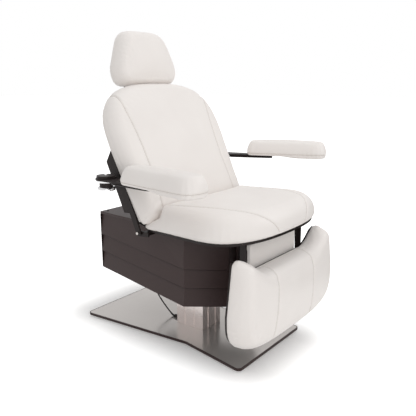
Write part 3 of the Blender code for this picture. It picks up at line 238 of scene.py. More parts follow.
@dataclass(frozen=True)
class Finish:
    """A real material: its name, colours, and values that start from typical ones for it.

    Args:
        name: The material's common name and how its surface was made.
        colour: Main colour as sRGB hex.
        shade: Second colour that the surface drifts to.
        roughness: Mean roughness.
        metallic: One for a bare metal.
        drift_mm: Size of the slow colour drift.
        grain_mm: Size of the fine relief.
        relief_mm: Height of the fine relief.
        specular: Specular level, 0.5 for a plain coating.
        uneven: Share by which the roughness goes down and up.
        bump: Strength of the fine relief.
    """

    name: str
    colour: str
    shade: str
    roughness: float
    metallic: float = 0.0
    drift_mm: float = 120.0
    grain_mm: float = 2.0
    relief_mm: float = 0.05
    specular: float = 0.5
    uneven: float = 0.12
    bump: float = 0.6

    def begin(self) -> tuple[bpy.types.Material, Any, Any, Any]:
        """Make the empty material with its shader, output and object coordinates.

        Returns:
            The material, its node tree, the Principled node and the coordinate socket.
        """
        made, tree = bare(self.name)
        shader = add_node(tree, "ShaderNodeBsdfPrincipled", {
            "Metallic": self.metallic, "Specular IOR Level": self.specular})
        add_node(tree, "ShaderNodeOutputMaterial", {"Surface": shader.outputs[0]})
        place = add_node(tree, "ShaderNodeTexCoord").outputs["Object"]
        return made, tree, shader, place

    def smoothest(self) -> float:
        """Roughness where the surface is smoothest."""
        return self.roughness * (1.0 - self.uneven)

    def roughest(self) -> float:
        """Roughness where the surface is roughest."""
        return self.roughness * (1.0 + self.uneven)

    def make(self) -> bpy.types.Material:
        """Colour that drifts slowly between two shades, uneven roughness and a fine relief.

        Returns:
            The finished material.
        """
        made, tree, shader, place = self.begin()
        drift = add_node(tree, "ShaderNodeTexNoise", {
            "Vector": place, "Scale": per_mm(self.drift_mm), "Detail": 3.0})
        mix = add_node(tree, "ShaderNodeMix", {
            0: drift.outputs[0], 6: linear(self.colour), 7: linear(self.shade)}, data_type="RGBA")
        tree.links.new(mix.outputs[2], shader.inputs["Base Color"])
        grain = add_node(tree, "ShaderNodeTexNoise", {
            "Vector": place, "Scale": per_mm(self.grain_mm), "Detail": 2.0})
        rough = add_node(tree, "ShaderNodeMapRange", {
            0: grain.outputs[0], 1: NOISE_LOW, 2: NOISE_HIGH, 3: self.smoothest(), 4: self.roughest()})
        tree.links.new(rough.outputs[0], shader.inputs["Roughness"])
        bump = add_node(tree, "ShaderNodeBump", {
            "Height": grain.outputs[0], "Distance": self.relief_mm / 1000.0, "Strength": self.bump})
        tree.links.new(bump.outputs[0], shader.inputs["Normal"])
        return made


@dataclass(frozen=True)
class BrushedMetal(Finish):
    """Metal rubbed along one axis, which leaves fine parallel streaks and a drawn out highlight.

    Args:
        uneven: Share by which the roughness goes down and up.
        bump: Strength of the streaks' relief.
        along: Axis of the streaks: 0, 1 or 2.
        streak_mm: Width of a streak, drawn coarser than the real scratches so that it shows.
        stretch: How much longer than wide a streak is.
        anisotropy: Share by which the highlight is drawn out.
        cloud: Share of the slow drift, against the streaks.
    """

    uneven: float = 0.2
    bump: float = 0.3
    along: int = 1
    streak_mm: float = 1.6
    stretch: float = 60.0
    anisotropy: float = 0.4
    cloud: float = 0.45

    def make(self) -> bpy.types.Material:
        """Streaked colour and roughness over a slow cloudy drift.

        Returns:
            The finished material.
        """
        made, tree, shader, place = self.begin()
        scale = [1.0, 1.0, 1.0]
        scale[self.along] = 1.0 / self.stretch
        drawn = add_node(tree, "ShaderNodeMapping", {"Vector": place, "Scale": scale}).outputs[0]
        streak = add_node(tree, "ShaderNodeTexNoise", {
            "Vector": drawn, "Scale": per_mm(self.streak_mm), "Detail": 4.0})
        cloud = add_node(tree, "ShaderNodeTexNoise", {
            "Vector": place, "Scale": per_mm(self.drift_mm), "Detail": 2.0})
        both = add_node(tree, "ShaderNodeMix", {
            0: self.cloud, 2: streak.outputs[0], 3: cloud.outputs[0]}, data_type="FLOAT")
        mix = add_node(tree, "ShaderNodeMix", {
            0: both.outputs[0], 6: linear(self.colour), 7: linear(self.shade)}, data_type="RGBA")
        tree.links.new(mix.outputs[2], shader.inputs["Base Color"])
        rough = add_node(tree, "ShaderNodeMapRange", {
            0: both.outputs[0], 1: NOISE_LOW, 2: NOISE_HIGH, 3: self.smoothest(), 4: self.roughest()})
        tree.links.new(rough.outputs[0], shader.inputs["Roughness"])
        bump = add_node(tree, "ShaderNodeBump", {
            "Height": streak.outputs[0], "Distance": self.relief_mm / 1000.0, "Strength": self.bump})
        tree.links.new(bump.outputs[0], shader.inputs["Normal"])
        shader.inputs["Anisotropic"].default_value = self.anisotropy
        return made


@dataclass(frozen=True)
class StitchedVinyl(Finish):
    """Calendered upholstery vinyl on foam: matt, faintly pebbled, with top stitched seams.

    A seam is drawn from two attributes of the piece: metres across it and metres along it.

    Args:
        uneven: Share by which the roughness goes down and up.
        bump: Strength of the pebbles' relief.
        fold: Colour down in the seam, painted shade in its crease.
        thread: Colour of the stitches.
        seam_mm: Width of the painted shade along the seam's fold.
        stitch_row_mm: Distance of each stitch row from the seam.
        stitch_mm: Length of one stitch and its gap.
        stitch_share: Share of that length that is thread.
        thread_mm: Thickness of the thread.
        thread_bump: Strength of the thread's relief.
        sheen: Weight of the vinyl's soft sheen.
    """

    uneven: float = 0.08
    bump: float = 0.5
    # painted shade: the seam's crease is coloured darker than the vinyl
    fold: str = "#b8ada5"
    thread: str = "#d9cfc6"
    seam_mm: float = 1.6
    stitch_row_mm: float = 4.0
    stitch_mm: float = 6.0
    stitch_share: float = 0.68
    thread_mm: float = 1.0
    thread_bump: float = 0.7
    sheen: float = 0.08

    def stitches(self, tree: bpy.types.NodeTree, away: Any) -> Any:
        """Dashes of thread, on both sides of a seam.

        Args:
            tree: The material's nodes.
            away: Socket of the distance from the seam.

        Returns:
            Socket that is one on the thread and zero elsewhere.
        """
        along = add_node(tree, "ShaderNodeAttribute", attribute_name="seam_along").outputs["Fac"]
        row = add_node(tree, "ShaderNodeMath", {
            0: away, 1: self.stitch_row_mm / 1000.0, 2: self.thread_mm / 2000.0}, operation="COMPARE")
        turn = add_node(tree, "ShaderNodeMath", {
            0: along, 1: self.stitch_mm / 1000.0}, operation="FLOORED_MODULO")
        dash = add_node(tree, "ShaderNodeMath", {
            0: turn.outputs[0], 1: self.stitch_mm * self.stitch_share / 1000.0}, operation="LESS_THAN")
        return add_node(tree, "ShaderNodeMath", {
            0: row.outputs[0], 1: dash.outputs[0]}, operation="MULTIPLY").outputs[0]

    def make(self) -> bpy.types.Material:
        """Pebbled vinyl with painted shade down the fold, and dashes of thread on both sides of it.

        Returns:
            The finished material.
        """
        made, tree, shader, place = self.begin()
        drift = add_node(tree, "ShaderNodeTexNoise", {
            "Vector": place, "Scale": per_mm(self.drift_mm), "Detail": 2.0})
        base = add_node(tree, "ShaderNodeMix", {
            0: drift.outputs[0], 6: linear(self.colour), 7: linear(self.shade)}, data_type="RGBA")
        across = add_node(tree, "ShaderNodeAttribute", attribute_name="seam_across").outputs["Fac"]
        away = add_node(tree, "ShaderNodeMath", {0: across}, operation="ABSOLUTE").outputs[0]
        # the fold is painted darker: painted shade in the seam's crease
        fold = add_node(tree, "ShaderNodeMapRange", {
            0: away, 1: 0.0, 2: self.seam_mm / 1000.0, 3: 1.0, 4: 0.0}, interpolation_type="SMOOTHSTEP")
        thread = self.stitches(tree, away)
        dark = add_node(tree, "ShaderNodeMix", {
            0: fold.outputs[0], 6: base.outputs[2], 7: linear(self.fold)}, data_type="RGBA")
        sewn = add_node(tree, "ShaderNodeMix", {
            0: thread, 6: dark.outputs[2], 7: linear(self.thread)}, data_type="RGBA")
        tree.links.new(sewn.outputs[2], shader.inputs["Base Color"])
        pebble = add_node(tree, "ShaderNodeTexVoronoi", {
            "Vector": place, "Scale": per_mm(self.grain_mm)}, feature="SMOOTH_F1").outputs["Distance"]
        rough = add_node(tree, "ShaderNodeMapRange", {
            0: pebble, 1: 0.0, 2: PEBBLE_EDGE, 3: self.roughest(), 4: self.smoothest()})
        tree.links.new(rough.outputs[0], shader.inputs["Roughness"])
        bump = add_node(tree, "ShaderNodeBump", {
            "Height": pebble, "Distance": self.relief_mm / 1000.0, "Strength": self.bump})
        lift = add_node(tree, "ShaderNodeBump", {
            "Height": thread, "Distance": self.thread_mm / 2000.0, "Strength": self.thread_bump,
            "Normal": bump.outputs[0]})
        tree.links.new(lift.outputs[0], shader.inputs["Normal"])
        shader.inputs["Sheen Weight"].default_value = self.sheen
        return made


FINISHES: dict[Slot, Finish] = {
    # Matt warm white that rolls softly over the foam, with fine pebbles, pale stitches and painted shade down
    # the seams' folds
    Slot.VINYL: StitchedVinyl("upholstery_vinyl_calendered", "#f4efeb", "#eee8e4", 0.46, drift_mm=160.0,
                              grain_mm=1.6, relief_mm=0.12, specular=0.4),
    # Dark brown satin, so that the housing's tiers read by their edges alone
    Slot.BRONZE: Finish("steel_bronze_powder_coated", "#3a2c2b", "#362827", 0.46, grain_mm=1.8,
                        relief_mm=0.10, specular=0.25),
    # Near black satin on rails, brackets and plates, a shade deeper than the housing; also the beads that
    # paint the shadow line under the skirt tiers
    Slot.BLACK: Finish("steel_black_powder_coated", "#201817", "#1b1413", 0.46, grain_mm=1.6,
                       relief_mm=0.08, specular=0.2),
    # Grey sheet with a soft mirror image of the column
    Slot.STEEL: BrushedMetal("stainless_steel_brushed", "#cfcac6", "#c3bdb9", 0.21, 0.45, drift_mm=220.0,
                             relief_mm=0.004, along=1, anisotropy=0.2),
    # Pale, faintly pink column with upright streaks
    Slot.ALLOY: BrushedMetal("aluminium_satin_anodised", "#f8eeeb", "#eee4e1", 0.20, 0.75, drift_mm=90.0,
                             along=2, anisotropy=0.3),
    # Dull black of the lead and the feet
    Slot.RUBBER: Finish("rubber_moulded", "#1d1b1b", "#242121", 0.75, grain_mm=1.2, relief_mm=0.10),
    # Dark column guide and hub covers, a little shinier than the rubber
    Slot.PLASTIC: Finish("abs_moulded_dark", "#302a2a", "#2a2525", 0.50, grain_mm=1.0, relief_mm=0.06),
    # Bright rings, pins and screw heads that mirror the room
    Slot.CHROME: Finish("steel_chromium_plated", "#d9d9d9", "#d0d0d2", 0.09, 1.0, grain_mm=6.0,
                        relief_mm=0.01),
    # Warm yellow glint of the lift's nut and the arms' bolts
    Slot.BRASS: BrushedMetal("brass_turned", "#b5905a", "#a5814e", 0.30, 1.0, along=0, streak_mm=0.8,
                             stretch=20.0),
}
MATERIALS: dict[Slot, bpy.types.Material] = {}


def finish_of(slot: Slot) -> bpy.types.Material:
    """Return the material of a slot, made the first time it is asked for.

    Args:
        slot: The record's slot.

    Returns:
        Its material.
    """
    if slot not in MATERIALS:
        MATERIALS[slot] = FINISHES[slot].make()
    return MATERIALS[slot]


def put_mesh(name: str, points: Any, faces: Sequence[Sequence[int]], smooth: bool = True) -> bpy.types.Object:
    """Put vertices and faces into a new object at the origin.

    Args:
        name: The piece's name.
        points: Vertex places, one row each.
        faces: Vertex numbers of each face.
        smooth: Whether its faces are shaded smooth.

    Returns:
        The linked object.
    """
    mesh = bpy.data.meshes.new(name)
    mesh.from_pydata(np.asarray(points, float).reshape(-1, 3).tolist(), [], [list(f) for f in faces])
    if smooth:
        mesh.shade_smooth()
    mesh.update()
    made = bpy.data.objects.new(name, mesh)
    bpy.context.scene.collection.objects.link(made)
    return made


def settled(made: bpy.types.Object) -> bpy.types.Object:
    """Apply an object's modifiers to its mesh.

    Args:
        made: The object.

    Returns:
        The same object.
    """
    graph = bpy.context.evaluated_depsgraph_get()
    mesh = bpy.data.meshes.new_from_object(made.evaluated_get(graph))
    made.modifiers.clear()
    made.data = mesh
    return made


def unit(rows: Any) -> np.ndarray:
    """Vectors scaled to a length of one."""
    rows = np.asarray(rows, float)
    return rows / np.linalg.norm(rows, axis=-1, keepdims=True)


def ring_turns(sides: int) -> np.ndarray:
    """Angles of the points of a ring."""
    return np.linspace(0.0, 2 * math.pi, sides, endpoint=False)


def reach_of(path: np.ndarray) -> np.ndarray:
    """Distance of each point of a path from its start, along the path."""
    return np.concatenate([[0.0], np.cumsum(np.linalg.norm(np.diff(path, axis=0), axis=1))])


def points_at(even: np.ndarray, path: np.ndarray) -> np.ndarray:
    """Points of a path at the given distances along it."""
    reach = reach_of(path)
    return np.stack([np.interp(even, reach, path[:, k]) for k in range(3)], axis=1)


def tube_faces(rows: int, sides: int) -> list[list[int]]:
    """Faces of a closed tube: quads between its rings, and one face over each end.

    Args:
        rows: Number of rings.
        sides: Vertices in each ring.

    Returns:
        Vertex numbers of each face.
    """
    row, col = np.meshgrid(np.arange(rows - 1), np.arange(sides), indexing="ij")
    start = row * sides
    nxt = (col + 1) % sides
    quads = np.stack([start + col, start + nxt, start + sides + nxt, start + sides + col], -1)
    ends = [list(range(sides))[::-1], list(range((rows - 1) * sides, rows * sides))]
    return quads.reshape(-1, 4).tolist() + ends


def swept(name: str, path: np.ndarray, radii: np.ndarray, sides: int) -> bpy.types.Object:
    """Carry a circle along a path: each ring lies across the path's tangent at that point.

    The ring's first direction is the tangent crossed with a slanting direction that no route here follows.

    Args:
        name: The piece's name.
        path: Points of the centre line.
        radii: Radius at each point.
        sides: Sides of the circle.

    Returns:
        The closed tube.
    """
    tangent = unit(np.gradient(path, axis=0))
    first = unit(np.cross(tangent, SLANT))
    second = np.cross(tangent, first)
    turn = ring_turns(sides)
    ring = first[:, None, :] * np.cos(turn)[None, :, None] + second[:, None, :] * np.sin(turn)[None, :, None]
    points = path[:, None, :] + ring * np.asarray(radii)[:, None, None]
    return put_mesh(name, points, tube_faces(len(path), sides))


def turned(name: str, profile: np.ndarray, centre: Any, axis: Sequence[float],
           sides: int) -> bpy.types.Object:
    """Turn a profile of height and radius round an axis: rings of that radius at that height.

    Args:
        name: The piece's name.
        profile: Rows of height along the axis and radius.
        centre: Point of zero height.
        axis: Direction of the axis.
        sides: Sides of each ring.

    Returns:
        The closed, turned piece.
    """
    along = unit(axis)
    start = unit(np.cross(along, LEVEL_START if abs(along[2]) < UPRIGHT else UPRIGHT_START))
    other = np.cross(along, start)
    turn = ring_turns(sides)
    ring = start[None, :] * np.cos(turn)[:, None] + other[None, :] * np.sin(turn)[:, None]
    height, radius = profile.T[:, :, None, None]
    points = np.asarray(centre) + height * along + radius * ring
    return put_mesh(name, points, tube_faces(len(profile), sides))


def flat_bar(name: str, path: np.ndarray, wide: np.ndarray, half: float) -> bpy.types.Object:
    """Carry a flat section with rounded edges along a level path.

    Args:
        name: The piece's name.
        path: Points of the centre line.
        wide: Half of the width at each point.
        half: Half of the thickness.

    Returns:
        The closed bar.
    """
    side = np.cross(unit(np.gradient(path, axis=0)), UP)
    turn = ring_turns(BAR_SIDES)
    flat, tall = (np.sign(wave) * np.abs(wave) ** BAR_ROUNDING for wave in (np.cos(turn), np.sin(turn)))
    points = path[:, None, :] + side[:, None, :] * (wide[:, None] * flat[None, :])[:, :, None]
    points[:, :, 2] += half * tall[None, :]
    return put_mesh(name, points, tube_faces(len(path), BAR_SIDES))


def prism(name: str, outline: Spots, low: float, high: float) -> bpy.types.Object:
    """Stand a flat outline up between two levels, with slightly rounded edges.

    Args:
        name: The piece's name.
        outline: Corners seen from above, anticlockwise.
        low: Level of its foot.
        high: Level of its top.

    Returns:
        The closed prism.
    """
    points = [(x, y, z) for z in (low, high) for x, y in outline]
    made = put_mesh(name, points, tube_faces(2, len(outline)), smooth=False)
    soft = made.modifiers.new("soft", "BEVEL")
    soft.width = SHEET_EDGE
    soft.segments = 2
    return settled(made)


def dress(made: bpy.types.Object, slot: Slot, body: Body) -> bpy.types.Object:
    """Give a piece its finish and let it ride on a CAD body.

    Args:
        made: The piece.
        slot: The record's slot it takes its finish from.
        body: The body it moves with.

    Returns:
        The same piece.
    """
    made.data.materials.clear()
    made.data.materials.append(finish_of(slot))
    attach(made, body.value)
    LOG.info("%s rides on %s", made.name, body.value)
    return made


@dataclass
class Seams:
    """A mirrored pair of seams over a padded form.

    Args:
        run: Gives each point's distance down the seam, from its place.
        marks: Distances down the seam.
        halves: Distance of the seam from the middle plane at each mark.
        depth: How deep the fold lies, in metres.
        spread: How far the foam is drawn in beside it, in metres.
    """

    run: Callable[[np.ndarray], np.ndarray]
    marks: Sequence[float]
    halves: Sequence[float]
    depth: float = 0.0030
    spread: float = 0.0060

    def measure(self, points: np.ndarray) -> tuple[np.ndarray, np.ndarray]:
        """Distance across the nearer seam, and along it.

        Args:
            points: Vertex places.

        Returns:
            Signed metres across and metres along, one of each a vertex.
        """
        along = self.run(points)
        before, half, after = (np.interp(along + step, self.marks, self.halves)
                               for step in (-SLOPE_STEP, 0.0, SLOPE_STEP))
        slope = (after - before) / (2 * SLOPE_STEP)
        across = (np.abs(points[:, 0] - ROOT[0]) - half) / np.sqrt(1.0 + slope ** 2)
        return across, along


@dataclass
class RimSeam:
    """One seam that runs level round a pad, a little above its board.

    Args:
        height: Level of the seam, in metres.
        depth: How deep the fold lies, in metres.
        spread: How far the foam is drawn in beside it, in metres.
    """

    height: float
    depth: float = 0.0016
    spread: float = 0.0040

    def measure(self, points: np.ndarray) -> tuple[np.ndarray, np.ndarray]:
        """Distance above the seam, and round it.

        Args:
            points: Vertex places.

        Returns:
            Signed metres across and metres along, one of each a vertex.
        """
        x, y, _ = (points - points.mean(axis=0)).T
        return points[:, 2] - self.height, np.arctan2(y, x) * np.hypot(x, y)


@dataclass
class ArmLine:
    """Where an armrest lies, seen from above.

    Args:
        pivot: Its swing axis in the CAD source's own frame.
        splay: Degrees that it is swung out.
        sign: One on the left, minus one on the right.
        start: Distance of the pad's rear end from the axis.
        hang_start: Distance from the pad's rear end where its foam begins to hang.
        hang_length: Distance over which it comes to hang fully.
        hang_height: Height of the foam that hangs, above the pad's lowest point.
        hang_drop: How far it hangs.
    """

    pivot: Sequence[float]
    splay: float
    sign: int
    start: float = 0.165
    hang_start: float = 0.170
    hang_length: float = 0.110
    hang_height: float = 0.045
    hang_drop: float = 0.009

    def way(self) -> np.ndarray:
        """Direction from the axis to the pad's front end."""
        turn = math.radians(self.splay)
        return np.array([self.sign * math.sin(turn), -math.cos(turn), 0.0])

    def spot(self, along: float, height: float) -> np.ndarray:
        """A place on the armrest's middle line.

        Args:
            along: Distance from the swing axis.
            height: Level above the floor.

        Returns:
            The place in the row frame.
        """
        return ROOT + (self.sign * self.pivot[0], self.pivot[1], height) + self.way() * along

    def belly(self, points: np.ndarray) -> np.ndarray:
        """Let the foam hang a little below the arm plate, ahead of its tip.

        Args:
            points: Vertex places of the pad.

        Returns:
            The new places.
        """
        along = (points - self.spot(self.start, 0.0)) @ self.way()
        share = np.clip((along - self.hang_start) / self.hang_length, 0.0, 1.0)
        share = share * share * (3.0 - 2.0 * share)
        under = np.clip(1.0 - (points[:, 2] - points[:, 2].min()) / self.hang_height, 0.0, 1.0)
        moved = points.copy()
        moved[:, 2] -= self.hang_drop * share * under
        return moved


@dataclass
class Cushion:
    """A foam pad covered in vinyl, blown up from its CAD form by a cloth simulation.

    Args:
        name: The piece's name.
        node: The CAD solid it stands for.
        body: The body it rides on.
        rest: Outward direction of the face that lies on the board.
        voxel: Size of the simulated mesh, in metres.
        cap: Furthest that a point may move in the simulation, in metres.
        fill: How tight it is filled, from 0 to 1. Not used.
        spare: How far the cover stands proud of the CAD form, in metres.
        seams: Its seams, if it has any.
        sag: Moves points where the foam hangs over its board, if it does.
    """

    name: str
    node: str
    body: Body
    rest: Sequence[float]
    voxel: float
    cap: float
    fill: float
    spare: float = 0.001
    seams: Union[Seams, RimSeam, None] = None
    sag: Optional[Callable[[np.ndarray], np.ndarray]] = None

    def build(self, frame: dict[str, Any]) -> bpy.types.Object:
        """Remesh a copy of the CAD form, swell it, soften it, sew it and put it on its body.


        Returns:
            The finished cushion.
        """
        source = frame["nodes"][self.node].data
        made = self.remeshed(source)
        self.swell(made)
        self.soften(made)
        self.regain(made, source)
        self.subdivide(made)
        if self.sag is not None:
            self.write(made, self.sag(self.read(made)[0]))
        self.sew(made)
        dress(made, Slot.VINYL, self.body)
        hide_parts(self.node)
        return made

    def smooth(self, made: bpy.types.Object) -> None:
        """Apply an object's modifiers and shade it smooth."""
        settled(made).data.shade_smooth()

    def remeshed(self, source: bpy.types.Mesh) -> bpy.types.Object:
        """An even mesh over a merged copy of the CAD form, drawn in a little to leave room to swell.

        Args:
            source: The CAD node's mesh.

        Returns:
            The new object.
        """
        made = bpy.data.objects.new(self.name, source.copy())
        made.data.name = self.name
        bpy.context.scene.collection.objects.link(made)
        weld = made.modifiers.new("weld", "WELD")
        weld.merge_threshold = WELD_REACH
        even = made.modifiers.new("even", "REMESH")
        even.mode = "VOXEL"
        even.voxel_size = self.voxel
        self.smooth(made)
        points, normals = self.read(made)
        self.write(made, points - normals * ((self.cap * DRAWN_IN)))
        return made

    def read(self, made: bpy.types.Object) -> tuple[np.ndarray, np.ndarray]:
        """Vertex places and normals as arrays.

        Args:
            made: The cushion.

        Returns:
            Places and normals, one row a vertex.
        """
        count = len(made.data.vertices)
        points, normals = np.empty(count * 3), np.empty(count * 3)
        made.data.vertices.foreach_get("co", points)
        made.data.vertex_normals.foreach_get("vector", normals)
        return points.reshape(-1, 3), normals.reshape(-1, 3)

    def write(self, made: bpy.types.Object, points: np.ndarray) -> None:
        """Put new vertex places into the mesh."""
        made.data.vertices.foreach_set("co", points.ravel())
        made.data.update()

    def on_board(self, points: np.ndarray) -> np.ndarray:
        """Mask of the points on the face that lies on the board."""
        height = points @ unit(self.rest)
        return height > height.max() - PIN_BAND * self.voxel

    def swell(self, made: bpy.types.Object) -> None:
        """Blow the cover up with a cloth simulation, pinned on the board, and cap how far points move.

        Args:
            made: The cushion.
        """
        before, _ = self.read(made)
        pins = made.vertex_groups.new(name="board")
        pins.add(np.flatnonzero(self.on_board(before)).tolist(), 1.0, "REPLACE")
        cloth = made.modifiers.new("cover", "CLOTH")
        for name, value in COVER_CLOTH.items():
            setattr(cloth.settings, name, value)
        cloth.settings.vertex_group_mass = pins.name
        cloth.settings.effector_weights.gravity = 0.0
        cloth.collision_settings.use_collision = False
        cloth.point_cache.frame_end = SWELL_FRAMES
        for step in range(1, SWELL_FRAMES + 1):
            bpy.context.scene.frame_set(step)
        self.smooth(made)
        made.vertex_groups.clear()
        bpy.context.scene.frame_set(1)
        after, _ = self.read(made)
        move = after - before
        far = np.linalg.norm(move, axis=1, keepdims=True)
        self.write(made, before + move * np.minimum(1.0, self.cap / np.maximum(far, 1e-9)))

    def soften(self, made: bpy.types.Object) -> None:
        """Average each vertex with its neighbours, then push back, so the form keeps its size.

        Args:
            made: The cushion.
        """
        points, _ = self.read(made)
        for strength in SOFTEN_PAIR * SOFTEN_ROUNDS:
            points = points + strength * (self.around(made, points) - points)
        self.write(made, points)

    def around(self, made: bpy.types.Object, values: np.ndarray) -> np.ndarray:
        """Mean of the neighbours' values at each vertex.

        Args:
            made: The cushion.
            values: One row a vertex.

        Returns:
            The means, one row a vertex.
        """
        edges = np.empty(len(made.data.edges) * 2, int)
        made.data.edges.foreach_get("vertices", edges)
        one, two = edges.reshape(-1, 2).T
        share = np.bincount(np.concatenate([one, two]), minlength=len(values)).astype(float)[:, None]
        total = np.zeros_like(values)
        np.add.at(total, one, values[two])
        np.add.at(total, two, values[one])
        return total / share

    def regain(self, made: bpy.types.Object, source: bpy.types.Mesh) -> None:
        """Fill the pad out to the CAD form where it drew in, by a smooth amount that keeps its soft dents.

        Args:
            made: The cushion.
            source: The CAD node's mesh.
        """
        tree = BVHTree.FromPolygons([v.co for v in source.vertices], [p.vertices for p in source.polygons])
        for _ in range(REGAIN_ROUNDS):
            points, normals = self.read(made)
            short = np.zeros((len(points), 1))
            for k, point in enumerate(points):
                spot, normal, _, _ = tree.find_nearest(point)
                gap = np.asarray(spot) - point
                short[k] = np.linalg.norm(gap) * np.sign(gap @ np.asarray(normal))
            for _ in range(REGAIN_BLUR):
                short = 0.5 * short + 0.5 * self.around(made, short)
            self.write(made, points + normals * (short + self.spare))

    def subdivide(self, made: bpy.types.Object) -> None:
        """Subdivide once, smoothly.

        Args:
            made: The cushion.
        """
        finer = made.modifiers.new("finer", "SUBSURF")
        finer.levels = 1
        finer.render_levels = 1
        self.smooth(made)

    def sew(self, made: bpy.types.Object) -> None:
        """Draw the foam in along the seams and store the distances that the stitching is drawn from.

        Args:
            made: The cushion.
        """
        points, normals = self.read(made)
        across, along = np.full(len(points), NO_SEAM), np.zeros(len(points))
        if self.seams is not None:
            across, along = self.seams.measure(points)
            fold = self.seams.depth * np.exp(-(across / self.seams.spread) ** 2)
            wave = along * 2 * math.pi / PUCKER + PUCKER_SWAY * np.sin(along * PUCKER_DRIFT)
            fold += np.sin(wave) * PUCKER_DEPTH * np.exp(-(across / PUCKER) ** 2)
            out = normals @ unit(self.rest)
            fold *= np.clip(1.0 - 2.0 * out, 0.0, 1.0)
            self.write(made, points - normals * fold[:, None])
            across = np.where(out > UNSEWN, NO_SEAM, across)
        for name, values in (("seam_across", across), ("seam_along", along)):
            store = made.data.attributes.new(name, "FLOAT", "POINT")
            store.data.foreach_set("value", values.astype(np.float32))


def back_tuck(points: np.ndarray) -> np.ndarray:
    """Let the back's foam reach a little further down towards the seat.

    Args:
        points: Vertex places of the pad.

    Returns:
        The new places.
    """
    share = np.clip(1.0 - ((points - BACK_HINGE) @ BACK_UP - TUCK_START) / TUCK_LENGTH, 0.0, 1.0)
    return points - np.outer(TUCK_DROP * share ** 2, BACK_UP)


def leg_belly(points: np.ndarray) -> np.ndarray:
    """Let the leg rest's foam stand fuller half way up.

    Args:
        points: Vertex places of the pad.

    Returns:
        The new places.
    """
    share = np.clip((points[:, 2] - LEG_FOOT) / LEG_HEIGHT, 0.0, 1.0)
    depth = np.clip((points[:, 1].max() - points[:, 1]) / LEG_BOARD_SIDE, 0.0, 1.0)
    moved = points.copy()
    moved[:, 1] -= LEG_FULLER * np.sin(math.pi * share) * depth
    return moved


LEFT_LINE = ArmLine((0.426, 0.12939), 22.0, 1)
RIGHT_LINE = ArmLine((0.426, 0.12939), 5.5, -1)
SEAT_SEAMS = Seams(
    run=lambda p: (p - ROOT)[:, 1] + p[:, 2],
    marks=(0.010, 0.037, 0.084, 0.115, 0.150, 0.190, 0.215, 0.241,
           0.270, 0.299, 0.358, 0.436, 0.519, 0.600, 0.720),
    halves=(0.092, 0.111, 0.142, 0.163, 0.186, 0.209, 0.221, 0.231,
            0.240, 0.248, 0.259, 0.268, 0.278, 0.293, 0.315))
BACK_SEAMS = Seams(
    run=lambda p: (p - BACK_HINGE) @ BACK_UP,
    marks=(0.050, 0.150, 0.270, 0.360, 0.430, 0.490, 0.545, 0.590, 0.630, 0.690),
    halves=(0.277, 0.273, 0.270, 0.273, 0.279, 0.287, 0.296, 0.301, 0.299, 0.284))
LEG_SEAMS = Seams(
    run=lambda p: p[:, 2],
    marks=(0.140, 0.250, 0.400, 0.480),
    halves=(0.167, 0.163, 0.157, 0.153))
CUSHIONS = (
    Cushion("seat_pad_cover", "seat_cushion", Body.LIFT, SEAT_UNDER,
            voxel=0.0070, cap=0.010, fill=0.85, seams=SEAT_SEAMS),
    Cushion("back_pad_cover", "back_cushion", Body.BACK, BACK_REAR,
            voxel=0.0070, cap=0.010, fill=0.85, seams=BACK_SEAMS, sag=back_tuck),
    Cushion("leg_pad_cover", "leg_cushion", Body.LEG_REST, REARWARD,
            voxel=0.0065, cap=0.009, fill=0.85, spare=0.005, seams=LEG_SEAMS, sag=leg_belly),
    Cushion("headrest_pad_cover", "headrest_cushion", Body.HEADREST, HEAD_REAR,
            voxel=0.0050, cap=0.008, fill=0.9, spare=0.006),
    Cushion("left_arm_pad_cover", "left_arm_cushion", Body.LEFT_ARM, DOWN,
            voxel=0.0045, cap=0.006, fill=0.9, seams=RimSeam(0.855), sag=LEFT_LINE.belly),
    Cushion("right_arm_pad_cover", "right_arm_cushion", Body.RIGHT_ARM, DOWN,
            voxel=0.0045, cap=0.006, fill=0.9, seams=RimSeam(0.829), sag=RIGHT_LINE.belly),
)


@dataclass
class PowerCord:
    """The mains lead from the gland on the plate up into the housing, with slack to let the chair rise.

    Args:
        radius: Half of the lead's thickness.
        spacing: Distance between points of the swept line.
        sides: Sides of the lead's section.
        route: Points that its centre line goes through, in the CAD source's own frame.
    """

    radius: float = 0.0035
    spacing: float = 0.0100
    sides: int = 14
    route: Spots = (
        (-0.030, 0.0783, 0.0303), (-0.030, 0.0983, 0.0303), (-0.036, 0.146, 0.075), (-0.041, 0.190, 0.128),
        (-0.044, 0.226, 0.200), (-0.045, 0.242, 0.290), (-0.045, 0.248, 0.360), (-0.045, 0.250, 0.440),
        (-0.015, 0.250, 0.478), (0.015, 0.250, 0.440), (0.015, 0.250, 0.370), (0.045, 0.252, 0.335),
        (0.075, 0.254, 0.370), (0.075, 0.256, 0.440), (0.075, 0.256, 0.504), (0.075, 0.256, 0.524))

    def line(self) -> np.ndarray:
        """Catmull-Rom curve through the route, read at even distances.

        Returns:
            Points of the centre line in the row frame.
        """
        spots = np.asarray(self.route, float) + ROOT
        spots = np.vstack([2 * spots[0] - spots[1], spots, 2 * spots[-1] - spots[-2]])
        t = np.linspace(0.0, 1.0, CURVE_STEPS, endpoint=False)[None, :, None]
        a, b, c, d = (spots[k:len(spots) - 3 + k, None, :] for k in range(4))
        square = (2 * a - 5 * b + 4 * c - d) * t ** 2
        cube = (3 * b - 3 * c + d - a) * t ** 3
        fine = 0.5 * (2 * b + (c - a) * t + square + cube)
        fine = np.vstack([fine.reshape(-1, 3), spots[-2]])
        full = reach_of(fine)[-1]
        return points_at(np.linspace(0.0, full, max(3, round(full / self.spacing)) + 1), fine)

    def build(self) -> bpy.types.Object:
        """Returns:
            The lead.
        """
        line = self.line()
        made = swept("mains_lead", line, np.full(len(line), self.radius), self.sides)
        made.data.materials.append(finish_of(Slot.RUBBER))
        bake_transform(made)
        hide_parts("power_cord")
        return made


